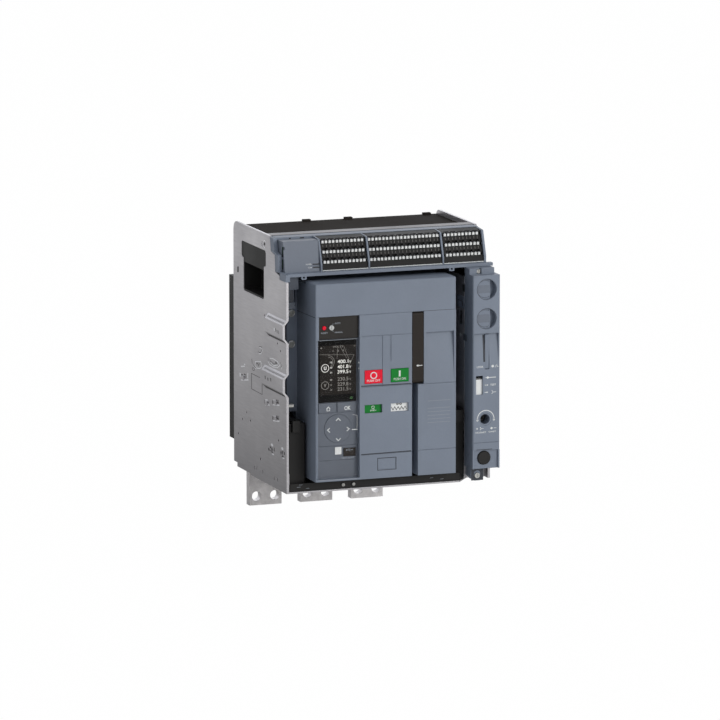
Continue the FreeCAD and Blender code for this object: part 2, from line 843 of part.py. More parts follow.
def racking_housing():
    """The tall moulding in front of the racking gear, with the key recesses, window and crank guide."""
    x0 = bay_right
    x1 = right_out
    top = racking_z + racking_h
    wall = cover_wall
    front_t = racking_front_t
    shape = cut_block(x0, x1, face_y, racking_rear, racking_z, top, 1.2, 2)
    shape = shape.cut(block(x0 + wall, x1 - wall, face_y + front_t, racking_rear + 1.0, racking_z + wall, top - wall))
    upper = block(x0, right_in, face_y + head_back, racking_rear, top, lip_z - clearance)
    foot_x0 = foot_at - foot_w / 2
    foot_y0 = face_y + head_back
    foot = slab_y([
        (foot_x0, racking_z),
        (foot_x0, foot_z + 5.0),
        (foot_x0 + 5.0, foot_z),
        (foot_x0 + foot_w - 5.0, foot_z),
        (foot_x0 + foot_w, foot_z + 5.0),
        (foot_x0 + foot_w, racking_z),
    ], foot_y0, foot_y0 + foot_t)
    guide = prism_y(crank_at, face_y + front_t, face_y + crank_guide_len, crank_z, crank_hole_r + 3.5)
    bearing = block(
        x0 + wall, crank_at + screw_r + bearing_wall, racking_rear - bearing_t, racking_rear,
        crank_z - screw_r - bearing_wall, crank_z + screw_r + bearing_wall)
    tongue = block(
        right_in - clearance - 3.0, right_in - clearance, racking_rear, racking_rear + tongue_len,
        racking_z + 24.0, top - 30.0)
    tongue_root = block(
        right_in - clearance - 3.0, x1, racking_rear - 6.0, racking_rear, racking_z + 24.0, top - 30.0)
    shape = fuse([shape, upper, foot, guide, bearing, tongue, tongue_root])
    inside = block(x0 + wall, x1 - wall, face_y, racking_rear, racking_z + wall, top - wall)
    for i in range(2):
        z = top - key_top - i * key_pitch
        x = x0 + key_x
        boss = prism_y(x, face_y + front_t - 1.0, face_y + key_deep + 2.0, z, key_boss_r)
        shape = shape.fuse(boss.common(inside))
        disc = prism_y(x, face_y - 1.0, face_y + key_depth, z, key_recess_r, 32)
        deep = prism_y(x, face_y - 1.0, face_y + key_deep, z, key_recess_r, 32)
        deep = deep.common(block(x + key_flat, x + 20.0, face_y - 1.0, face_y + key_deep, z - 20.0, z + 20.0))
        shape = shape.cut(disc).cut(deep)
    shape = shape.cut(scoop(x0 + 2.0, x1 - 2.0, tab_z + tab_h - 37.0, tab_z + tab_h + 1.0, 4.0))
    shape = shape.cut(rod_y(crank_at, face_y - 1.0, face_y + crank_guide_len + 1.0, crank_z, crank_hole_r))
    shape = shape.cut(prism_y(
        crank_at, racking_rear - 10.0, racking_rear + 1.0, crank_z, round_about(screw_r + running, 12)))
    tab_x0 = x0 + tab_x - tab_w / 2
    shape = shape.cut(block(
        tab_x0 - clearance, tab_x0 + tab_w + clearance, face_y - 1.0, face_y + front_t + 1.0,
        tab_z - clearance, tab_z + tab_h + clearance))
    window_x0 = x0 + flag_window_x
    shape = shape.cut(block(
        window_x0, window_x0 + flag_window_w, face_y - 1.0, face_y + wall + 1.0,
        flag_window_z, flag_window_z + flag_window_h))
    shape = shape.cut(block(
        window_x0 - 1.5, window_x0 + flag_window_w + 1.5, face_y + wall, face_y + front_t + 1.0,
        pointer_z - flag_travel - clearance, flag_window_z + flag_window_h - 1.0))
    shape = shape.cut(block(x0 - 1.0, x1 + 1.0, face_y - 1.0, face_y + step_d, racking_z - 1.0, step_top))
    side_lip = block(x0, x0 + 2.0, face_y, face_y + step_d, racking_z, step_top)
    far_lip = block(x1 - 2.0, x1, face_y, face_y + step_d, racking_z, step_top)
    shape = fuse([shape, side_lip, far_lip])
    shape = shape.cut(prism_y(x0 + release_x, face_y - 1.0, face_y + front_t + 1.0, release_z, release_r + 0.3, 24))
    shape = shape.cut(groove_x(x0 - 1.0, x1 + 1.0, tab_z + tab_h + 1.0, face_y))
    shape = shape.cut(groove_x(x0 - 1.0, x1 + 1.0, step_top + 10.0, face_y))
    shape = shape.cut(block(
        x0 + notch_x0, x0 + notch_x1, foot_y0 - 1.0, foot_y0 + notch_deep, lip_z - clearance - notch_drop, lip_z))
    shape = shape.cut(prism_y(foot_at, foot_y0 - 1.0, foot_y0 + 1.2, foot_z + 6.6, screw_head_r + 0.4))
    return shape.removeSplitter()


def position_flag():
    """The sliding flag behind the position window."""
    x0 = bay_right + flag_window_x - 1.2
    y0 = face_y + cover_wall + 0.2
    top = flag_window_z + flag_window_h - 3.4
    return block(x0, x0 + flag_window_w + 2.4, y0, y0 + flag_t, pointer_z, top)


def release_button():
    """The push button that frees the racking gear, with its collar and stem."""
    x = bay_right + release_x
    head = prism_y(x, face_y + 0.4, face_y + racking_front_t + 0.4, release_z, release_r, 32)
    head = head.makeChamfer(0.8, [e for e in head.Edges if e.BoundBox.YMax < face_y + 0.5])
    back = face_y + racking_front_t
    collar = prism_y(x, back + 0.4, back + 2.0, release_z, release_r + 1.7, 16)
    stem = prism_y(x, back + 2.0, racking_rear - 4.5, release_z, stem_r, 8)
    return fuse([head, collar, stem])


def padlock_tab():
    """The pull-out tab, pierced for a padlock."""
    x0 = bay_right + tab_x - tab_w / 2
    y0 = face_y + 0.8
    shape = block(x0, x0 + tab_w, y0, y0 + tab_len, tab_z, tab_z + tab_h)
    shape = shape.makeChamfer(1.0, [e for e in outer_edges(shape, 0) if e.BoundBox.YMax < y0 + 1.0])
    return shape.cut(prism_x(x0 - 1.0, x0 + tab_w + 1.0, y0 + 8.0, tab_z + 12.0, 4.0))


def rear_housing():
    """The moulded wall that carries the fixed contacts, with their mouths, barriers and shutter guides."""
    rim = block(left_out + 1.0, right_out - 1.0, back_y + 0.2, house_back, housing_z, housing_rim_top)
    body = block(left_in + clearance, right_in - clearance, house_y, back_y + 0.2, housing_z, housing_top)
    parts = [rim, body]
    for i in range(pole_count + 1):
        x = (i - pole_count / 2) * pole_pitch
        parts.append(block(
            x - barrier_t / 2, x + barrier_t / 2, house_back, house_back + barrier_d,
            housing_z + 6.0, housing_rim_top - 4.0))
    post_z1 = upper_z + cluster_h / 2 + shutter_margin + shutter_h + 3.0
    for side in (-1, 1):
        a = side * (shutter_half + 0.7)
        b = side * (shutter_half + 6.2)
        c = side * (shutter_half - 3.0)
        parts.append(block(min(a, b), max(a, b), house_y - post_d, house_y + 2.0, housing_z + 4.0, post_z1))
        parts.append(block(
            min(b, c), max(b, c), house_y - post_d - 2.5, house_y - post_d, housing_z + 4.0, post_z1))
    shape = fuse(parts)
    for x in poles:
        for z in (lower_z, upper_z):
            shape = shape.cut(block(
                x - mouth_w / 2, x + mouth_w / 2, house_y - 1.0, house_back - housing_wall,
                z - mouth_h / 2, z + mouth_h / 2))
            shape = shape.cut(block(
                x - bar_w / 2 - 0.2, x + bar_w / 2 + 0.2, house_y, house_back + 1.0,
                z - bar_t / 2 - 0.2, z + bar_t / 2 + 0.2))
    return shape


def shutter(z0):
    """A safety shutter: one plate across all the poles, with two stiffening beads."""
    y0 = house_y - shutter_t - 0.5
    parts = [block(-shutter_half, shutter_half, y0, y0 + shutter_t, z0, z0 + shutter_h)]
    for z in (z0 + shutter_h * 0.3, z0 + shutter_h * 0.7):
        parts.append(block(-shutter_half + 12.0, shutter_half - 12.0, y0 - 1.2, y0 + 1.0, z - 2.0, z + 2.0))
    return fuse(parts)


def terminal_bar(x, z, length):
    """A flat copper bar through the rear wall, with its tip chamfered for the fingers."""
    y0 = house_y + blade_inset
    half = bar_t / 2
    lead = 2.0
    outline = [
        (y0, z - half + lead),
        (y0 + lead * 2, z - half),
        (y0 + length, z - half),
        (y0 + length, z + half),
        (y0 + lead * 2, z + half),
        (y0, z + half - lead),
    ]
    return slab_x(outline, x - bar_w / 2, x + bar_w / 2)


def upper_terminal(x):
    """A fixed contact that ends in a horizontal rear terminal with two holes."""
    end = house_back + upper_reach
    shape = terminal_bar(x, upper_z, end - house_y - blade_inset)
    for side in (-1, 1):
        hole_x = x + side * terminal_hole_gap / 2
        shape = shape.cut(rod_z(hole_x, end - terminal_hole_edge, upper_z - 20.0, upper_z + 20.0, terminal_hole_r))
    return shape


def lower_terminal(x):
    """A fixed contact that ends in an upright pad, tapped for two bolts."""
    shape = terminal_bar(x, lower_z, house_back + 2.0 - house_y - blade_inset)
    pad = block(
        x - bar_w / 2, x + bar_w / 2, house_back + clearance, flag_y,
        lower_z - bar_t / 2, lower_z - bar_t / 2 + pad_h)
    shape = shape.fuse(pad)
    for side in (-1, 1):
        shape = shape.cut(prism_y(
            x + side * terminal_hole_gap / 2, flag_y - bolt_deep, flag_y + 1.0, bolt_z, bolt_r + 0.2, 8))
    return shape.removeSplitter()


def terminal_flag(x):
    """A down-turned terminal bar that hangs below the chassis, with two holes at its foot."""
    shape = block(
        x - bar_w / 2, x + bar_w / 2, flag_y, flag_y + flag_bar_t,
        -flag_drop, lower_z - bar_t / 2 + pad_h)
    for side in (-1, 1):
        hole_x = x + side * terminal_hole_gap / 2
        shape = shape.cut(rod_y(
            hole_x, flag_y - 1.0, flag_y + flag_bar_t + 1.0, terminal_hole_edge - flag_drop, terminal_hole_r))
        shape = shape.cut(prism_y(hole_x, flag_y - 1.0, flag_y + flag_bar_t + 1.0, bolt_z, bolt_r + 0.4, 8))
    return shape


def terminal_bolt(x):
    """A hexagon bolt with its washer, seated on a terminal flag."""
    back = flag_y + flag_bar_t
    washer_y = back + washer_t
    shank = prism_y(x, flag_y - bolt_deep + 0.5, back, bolt_z, bolt_r, 8)
    washer = prism_y(x, back, washer_y, bolt_z, bolt_head_r + 1.8, 16)
    head = prism_y(x, washer_y, washer_y + bolt_head_h, bolt_z, round_about(bolt_head_r, 6), 6)
    return fuse([shank, washer, head])


def screw_head(x, y, z, radius):
    """A pan head with a cross slot, its underside at y and facing the rear."""
    front = y - screw_head_h
    head = prism_y(x, front, y, z, radius, 12)
    reach = radius * 0.7
    half = slot_w / 2
    across = block(x - reach, x + reach, front - 1.0, front + slot_w, z - half, z + half)
    up = block(x - half, x + half, front - 1.0, front + slot_w, z - reach, z + reach)
    return head.cut(across.fuse(up))


def top_cover():
    """The moulded lid behind the crossbar, with its skirt down to the rear housing."""
    y0 = carrier_back + crossbar_d
    top = plate_h - lid_drop
    lid = block(left_in, right_in, y0, back_y, top - lid_t, top)
    skirt = block(left_in, right_in, back_y - lid_t, back_y, housing_top, top)
    parts = [lid, skirt]
    for x in lid_bumps:
        parts.append(block(x - 5.0, x + 5.0, back_y - 7.0, back_y, top - 1.0, top + 2.5))
    return fuse(parts)


def upper_crossbar():
    """The sheet channel that ties the side plates together over the breaker."""
    y0 = carrier_back
    y1 = y0 + crossbar_d
    top = plate_h - 0.5
    web = block(left_in, right_in, y0, y0 + 2.0, shelf_z, top)
    upper = block(left_in, right_in, y0, y1, top - 2.0, top)
    lower = block(left_in, right_in, y0, y0 + 4.0, shelf_z, shelf_z + 2.0)
    return fuse([web, upper, lower])


def carrier_front(z):
    """How far forward a terminal block's face reaches at a height."""
    low = shelf_z
    high = lip_z + block_kink + block_face_h
    part = (z - low) / (high - low)
    return front_y + block_front_y + part * (block_lean + 2.9)


def carrier_cheek(x0, x1):
    """A partition of the terminal carrier."""
    y0 = front_y + block_front_y
    return slab_x([
        (carrier_back, lip_z),
        (y0, lip_z),
        (y0, lip_z + block_kink),
        (y0 + block_lean, lip_z + block_kink + block_face_h),
        (front_y + rail_top_y + 6.7, carrier_top),
        (carrier_back, carrier_top),
    ], x0, x1)


def terminal_carrier():
    """The moulded tray for the control terminals, with partitions, end cheeks and front lip."""
    x0 = left_in + 1.0
    x1 = right_in - 0.2
    lip_front = front_y + lip_y
    parts = [
        block(x0, x1, lip_front, carrier_back, lip_z, shelf_z),
        block(x0, x1, lip_front, lip_front + 2.4, lip_z, shelf_z + 1.0),
        block(x1 - 1.0, right_out, lip_front, front_y + right_plate_back - clearance, lip_z, shelf_z + 1.0),
        block(x0, x1, carrier_back - 2.0, carrier_back, lip_z, carrier_top),
        block(x0, x1, front_y + rail_top_y, carrier_back, carrier_top - 3.5, carrier_top),
        block(left_out + 0.2, left_in + 3.0, front_y + 3.0, front_y + step_a_y - 0.4, nose_h, shelf_z + 0.5),
        carrier_cheek(x1 - 2.8, x1),
    ]
    for x in rib_xs:
        parts.append(carrier_cheek(x - rib_t / 2, x + rib_t / 2))
    g = clearance
    wing_front = front_y + step_b_y - 10.0
    wing = [
        (front_y + step_a_y - 1.0, step_b_z + 0.5),
        (front_y + step_a_y - 1.0, shelf_z + 0.5),
        (wing_front, shelf_z + 0.5),
        (wing_front + 1.0, step_c_z + 1.5),
        (front_y + step_d_y - 13.0, step_d_z + 0.5),
        (front_y + rail_top_y, carrier_top - 0.5),
        (front_y + plate_top_y - 1.5, carrier_top - 0.5),
        (front_y + step_e_y - g, step_e_z + g),
        (front_y + step_d_y - g, step_d_z + g),
        (front_y + step_b_y + 1.5 - g, step_c_z + g + 0.2),
        (front_y + step_b_y - g, step_b_z + g),
    ]
    parts.append(slab_x(wing, left_out + 0.2, left_in + 2.7))
    inner = [
        (carrier_back, lip_z),
        (wing_front, lip_z),
        (wing_front + 1.0, step_c_z + 1.5),
        (front_y + step_d_y - 13.0, step_d_z + 0.5),
        (front_y + rail_top_y, carrier_top - 0.5),
        (carrier_back, carrier_top),
    ]
    parts.append(slab_x(inner, left_in + 0.3, left_in + 2.7))
    for x in (-eyelet_x, eyelet_x):
        eye = cut_block(x - 3.5, x + 3.5, lip_front, lip_front + 3.0, lip_z - 4.0, lip_z + 1.0, 1.2, 1)
        parts.append(eye.cut(prism_y(x, lip_front - 1.0, lip_front + 4.0, lip_z - 1.2, 1.4)))
    return fuse(parts + hanger())


def hanger():
    """The moulded bracket that hangs beside the breaker at the left, with its stem and foot."""
    y0 = front_y + hanger_y
    stem_y = y0 + 3.0
    top = lip_z - hanger_top
    low = lip_z - hanger_low
    arm = block(hanger_x - 3.8, hanger_x + 8.2, y0, y0 + hanger_d, top, lip_z)
    stem = block(hanger_x - 3.0, hanger_x + 3.0, stem_y, stem_y + hanger_stem_d, low, top)
    foot = block(
        hanger_x - 4.8, hanger_x + 3.7, stem_y - 2.0, stem_y + hanger_stem_d + 2.0, lip_z - hanger_foot, low)
    return [arm, stem, foot]


def row_z(row):
    return shelf_z + row_first + row * row_pitch


def pair_xs(x0, x1, count):
    """Centres of the terminal columns of one block."""
    start = (x0 + x1) / 2 - (count - 1) * pair_pitch / 2
    found = []
    for i in range(count):
        for side in (-1, 1):
            found.append(start + i * pair_pitch + side * tile_gap / 2)
    return found


def terminal_block(x0, x1, count):
    """A row block of push-in terminals, with its wire entries."""
    y0 = carrier_front(shelf_z)
    high = lip_z + block_kink + block_face_h - 1.0
    under = carrier_top - 3.5
    shape = slab_x([
        (y0, shelf_z),
        (carrier_front(high), high),
        (front_y + rail_top_y - clearance, carrier_top - 0.5),
        (front_y + rail_top_y - clearance, under),
        (carrier_back - 2.0, under),
        (carrier_back - 2.0, shelf_z),
    ], x0, x1)
    cutters = []
    for row in range(row_count):
        z = row_z(row)
        y = carrier_front(z)
        cutters.append(block(x0 - 1.0, x1 + 1.0, y - 4.0, y + tile_deep, z - tile_h / 2, z + tile_h / 2))
        for x in pair_xs(x0, x1, count)[::2]:
            cutters.append(block(
                x - wire_hole / 2, x + tile_gap + wire_hole / 2, y - 4.0, y + tile_deep + 2.5,
                z + tile_h / 2 + 1.0, z + tile_h / 2 + 1.0 + wire_hole))
    return shape.cut(Part.makeCompound(cutters))


def terminal_levers(spans):
    """The push levers of all the blocks, seated in their grooves."""
    found = []
    for x0, x1, count in spans:
        for row in range(row_count):
            z = row_z(row)
            y = carrier_front(z)
            for x in pair_xs(x0, x1, count):
                found.append(block(
                    x - tile_w / 2, x + tile_w / 2, y - tile_proud, y + tile_deep, z - tile_h / 2, z + tile_h / 2))
    return found


def communication_module():
    """The plug-in module at the left end of the carrier, with its lamps and edge socket."""
    x0 = left_in + module_x
    x1 = x0 + module_w
    y0 = front_y + block_front_y + 2.0
    top = carrier_top - 2.5
    shape = slab_x([
        (y0, shelf_z),
        (y0 + 8.0, top),
        (front_y + rail_top_y - clearance, top),
        (front_y + rail_top_y - clearance, top - 1.0),
        (carrier_back - 2.0, top - 1.0),
        (carrier_back - 2.0, shelf_z),
    ], x0, x1)
    for z in (shelf_z + 5.0, shelf_z + 8.5):
        shape = shape.cut(block(x1 - 9.5, x1 - 1.5, y0 - 2.0, y0 + 3.5, z - 0.7, z + 0.7))
    for z in (shelf_z + 3.0, shelf_z + 19.0):
        shape = shape.cut(block(x0 - 1.0, x0 + 2.0, y0 + 6.0, y0 + 11.0, z, z + 13.0))
    return shape


def case_section(y0, y1):
    """A slice of the pole case: narrow between the rails, wide over them and necked at the top."""
    return slab_y([
        (-case_low_half, cover_z),
        (case_low_half, cover_z),
        (case_low_half, case_step_z),
        (case_half, case_step_z),
        (case_half, case_neck_z),
        (case_neck_half, case_neck_z),
        (case_neck_half, case_top),
        (-case_neck_half, case_top),
        (-case_neck_half, case_neck_z),
        (-case_half, case_neck_z),
        (-case_half, case_step_z),
        (-case_low_half, case_step_z),
    ], y0, y1)


def case_hollows():
    """All the room inside the pole case, cut from both of its halves."""
    found = []
    front = case_y0 + case_wall
    rear = case_y1 - case_wall
    floor = upper_z - bar_t / 2
    chamber_y0 = shaft_y + shaft_r - 1.0
    for x in poles:
        half = chamber_w / 2
        found.append(block(
            x - half, x + half, chamber_y0, rear, lower_z - bar_t / 2 - sensor_wall - 2.0, floor))
        half = chute_w / 2
        found.append(block(x - half, x + half, chute_y0, chute_y0 + chute_d, floor - 1.0, case_top + 1.0))
        half = bar_w / 2
        found.append(block(x - half, x + half, chute_y0 + chute_d, case_y1 + 1.0, floor, floor + bar_t))
        found.append(block(x - half, x + half, rear - 1.0, case_y1 + 1.0, lower_z - bar_t / 2, lower_z + bar_t / 2))
        half = low_chamber_w / 2
        found.append(block(x - half, x + half, front, hook_y - 8.0, cover_z + case_wall, case_step_z - 4.0))
        reach = chamber_w / 2 + axle_in
        found.append(prism_x(x - reach, x + reach, arm_y, arm_z, round_about(arm_axle_r + running, 8), 8))
    reach = case_half - case_wall - 5.0
    found.append(block(
        -reach, reach, shaft_y - shaft_room, case_split, shaft_z - shaft_room - 4.0, shaft_z + shaft_room + 4.0))
    found.append(prism_x(
        -reach - axle_in, reach + axle_in, shaft_y, shaft_z, round_about(shaft_r + running, 12)))
    for x in (-hook_x, hook_x):
        found.append(block(
            x - hook_w / 2 - 1.0, x + hook_w / 2 + 1.0, hook_y - clearance, case_y1 + 1.0,
            cover_z - 1.0, hook_top + 1.0))
    return Part.makeCompound(found)


def arc_chute(x):
    """A slotted arc chute that hangs in the pole case by its flange."""
    half = chute_w / 2 - 0.3
    y0 = chute_y0 + 0.3
    y1 = chute_y0 + chute_d - 0.3
    z0 = upper_z - bar_t / 2 + 1.5
    shape = block(x - half, x + half, y0, y1, z0, case_top)
    flange = block(x - half - 3.0, x + half + 3.0, y0 - 3.0, y1 + 3.0, case_top, case_top + 2.0)
    shape = shape.fuse(flange)
    pitch = (y1 - y0 - 4.0) / chute_plates
    slots = []
    for i in range(chute_plates):
        y = y0 + 2.0 + (i + 0.5) * pitch
        slots.append(block(x - half + 3.0, x + half - 3.0, y - 1.6, y + 1.6, z0 - 1.0, case_top + 3.0))
    return shape.cut(Part.makeCompound(slots))


def upper_contact(x):
    """The fixed upper contact: its bar, the leg that faces the arm, and the contact tip."""
    half = bar_w / 2
    floor = upper_z - bar_t / 2
    y0 = chute_y0 + chute_d
    bar = block(x - half, x + half, y0, house_y + stub_reach, floor, floor + bar_t)
    leg = block(x - arm_w / 2, x + arm_w / 2, y0, y0 + 8.0, floor - fixed_leg_h, floor + 1.0)
    tip = block(
        x - arm_w / 2 + 1.0, x + arm_w / 2 - 1.0, y0 - contact_tip_t, y0 + 1.0,
        floor - fixed_leg_h + 3.0, floor - 4.0)
    return fuse([bar, leg, tip])


def lower_contact(x):
    """The fixed lower contact bar."""
    half = bar_w / 2
    y0 = chute_y0 + chute_d
    return block(x - half, x + half, y0, house_y + stub_reach, lower_z - bar_t / 2, lower_z + bar_t / 2)


def moving_contact(x):
    """A moving contact arm with its axle and tip, drawn shut and then swung to its open rest."""
    tip_y = chute_y0 + chute_d - contact_tip_t - 0.3
    root = arm_y - 8.0
    top = arm_z + arm_len
    arm = slab_x([
        (root, arm_z - 6.0),
        (root + 5.0, arm_z - 9.0),
        (arm_y + 5.0, arm_z - 9.0),
        (tip_y - 2.0, arm_z + 12.0),
        (tip_y - 2.0, top),
        (tip_y - arm_t, top),
        (tip_y - arm_t, arm_z + 30.0),
        (root, arm_z + 8.0),
    ], x - arm_w / 2, x + arm_w / 2)
    tip = block(x - arm_w / 2 + 1.0, x + arm_w / 2 - 1.0, tip_y - 4.0, tip_y, top - 21.0, top - 2.0)
    reach = chamber_w / 2 + axle_in - 0.5
    axle = rod_x(x - reach, x + reach, arm_y, arm_z, arm_axle_r)
    shape = fuse([arm, tip, axle])
    shape.rotate(vec(x, arm_y, arm_z), vec(1, 0, 0), arm_open)
    return shape


def current_sensor(x):
    """A ring sensor round the lower bar."""
    half = bar_w / 2 + sensor_wall
    y0 = case_y1 - case_wall - sensor_d - 2.0
    z0 = lower_z - bar_t / 2
    ring = cut_block(x - half, x + half, y0, y0 + sensor_d, z0 - sensor_wall, z0 + bar_t + sensor_wall, 3.5, 1)
    return ring.cut(block(x - bar_w / 2, x + bar_w / 2, y0 - 1.0, y0 + sensor_d + 1.0, z0, z0 + bar_t))


def finger_cluster(x, z):
    """A sprung finger cluster: two rows of fingers in a cage clamped on the breaker's bar."""
    y0 = case_y1 + 10.0
    tip = house_back - cluster_tip
    cage_y1 = house_y + stub_reach - 2.0
    gap = bar_t / 2
    cage_x = cluster_w / 2
    high = cluster_h / 2
    cage = []
    parts = []
    for side in (-1, 1):
        a = z + side * gap
        b = z + side * (high - 1.0)
        cage.append(block(x - cage_x, x + cage_x, y0, cage_y1, min(a, b), max(a, b)))
        cheek = x + side * bar_w / 2
        edge = x + side * cage_x
        cage.append(block(min(cheek, edge), max(cheek, edge), y0, cage_y1, z - high + 1.0, z + high - 1.0))
        c = z + side * (gap + clearance + 0.1)
        d = z + side * (high - 4.0)
        pitch = (bar_w - 2.0) / finger_count
        for i in range(finger_count):
            fx = x - bar_w / 2 + 1.0 + (i + 0.5) * pitch
            parts.append(block(fx - pitch / 2 + 0.6, fx + pitch / 2 - 0.6, cage_y1, tip, min(c, d), max(c, d)))
        f = z + side * high
        parts.append(block(x - cage_x + 2.0, x + cage_x - 2.0, tip - 16.0, tip - 12.0, min(d, f), max(d, f)))
    return [fuse(cage)] + parts


def side_runner(side):
    """The steel bar on the breaker's flank that rides on the rail."""
    x0 = side * case_half
    x1 = side * (case_half + runner_w)
    z0 = rail_top + clearance
    shape = block(min(x0, x1), max(x0, x1), case_y0 + 3.0, case_y1 - 10.0, z0, z0 + runner_h)
    return shape.cut(prism_x(min(x0, x1) - 1.0, max(x0, x1) + 1.0, case_y0 + 14.0, z0 + runner_h / 2, 2.5, 8))


def mechanism_plates():
    """The two plates of the spring mechanism, their tie bars and the spring's seat."""
    y0 = face_y + mech_front
    z1 = mech_z + mech_h
    parts = []
    for x in (mech_x0, mech_x1 - mech_t):
        plate = slab_x([
            (y0, mech_z),
            (case_y0, mech_z),
            (case_y0, z1),
            (y0 + 14.0, z1),
            (y0, z1 - 14.0),
        ], x, x + mech_t)
        bore_r = round_about(cam_shaft_r + running, 12)
        parts.append(plate.cut(prism_x(x - 1.0, x + mech_t + 1.0, cam_y, shaft_z, bore_r)))
    parts.append(block(mech_x0, mech_x1, cam_y - 12.0, cam_y + 12.0, mech_z, mech_z + 5.0))
    for y, z in ((case_y0 - 8.0, z1 - 10.0), (y0 + 24.0, z1 - 10.0), (case_y0 - 8.0, mech_z + 12.0)):
        parts.append(prism_x(mech_x0, mech_x1, y, z, tie_r, 8))
    return fuse(parts)


def closing_spring():
    """The closing spring on its guide tube, standing on its seat."""
    z0 = mech_z + 5.0
    x = (mech_x0 + mech_x1) / 2
    parts = [prism_z(x, cam_y, z0, z0 + spring_len, spring_tube_r, 8)]
    pitch = spring_len / spring_coils
    for i in range(spring_coils):
        parts.append(prism_z(x, cam_y, z0 + i * pitch, z0 + i * pitch + pitch * 0.62, spring_r, 10))
    return fuse(parts)


def cam_shaft():
    """The cam shaft, with the closing cam and the charging ratchet wheel."""
    middle = (mech_x0 + mech_x1) / 2
    shaft = rod_x(mech_x0 - 1.0, mech_x1 + 1.0, cam_y, shaft_z, cam_shaft_r)
    cam = prism_x(middle - cam_t / 2, middle + cam_t / 2, cam_y, shaft_z + cam_rise, cam_r, 12)
    teeth = []
    for i in range(ratchet_teeth):
        for share, r in ((0.0, cam_r), (0.1, cam_r - ratchet_bite * 2)):
            a = 2 * math.pi * (i + share) / ratchet_teeth
            teeth.append((cam_y + r * math.cos(a), shaft_z + r * math.sin(a)))
    wheel_x1 = mech_x1 - mech_t - 4.0
    return fuse([shaft, cam, slab_x(teeth, wheel_x1 - ratchet_t, wheel_x1)])


def pole_shaft():
    """The shaft that drives all the poles, with a lever in each."""
    reach = case_half - case_wall - 5.0 + axle_in - 0.5
    parts = [rod_x(-reach, reach, shaft_y, shaft_z, shaft_r)]
    for x in poles:
        lever = slab_x([
            (shaft_y - shaft_lever_y, shaft_z - shaft_lever_root),
            (shaft_y + lever_len, shaft_z - shaft_lever_tip),
            (shaft_y + lever_len, shaft_z + shaft_lever_tip),
            (shaft_y - shaft_lever_y, shaft_z + shaft_lever_root),
        ], x - lever_t / 2, x + lever_t / 2)
        lever.rotate(vec(x, shaft_y, shaft_z), vec(1, 0, 0), -shaft_swing / 2)
        parts.append(lever)
    return fuse(parts)


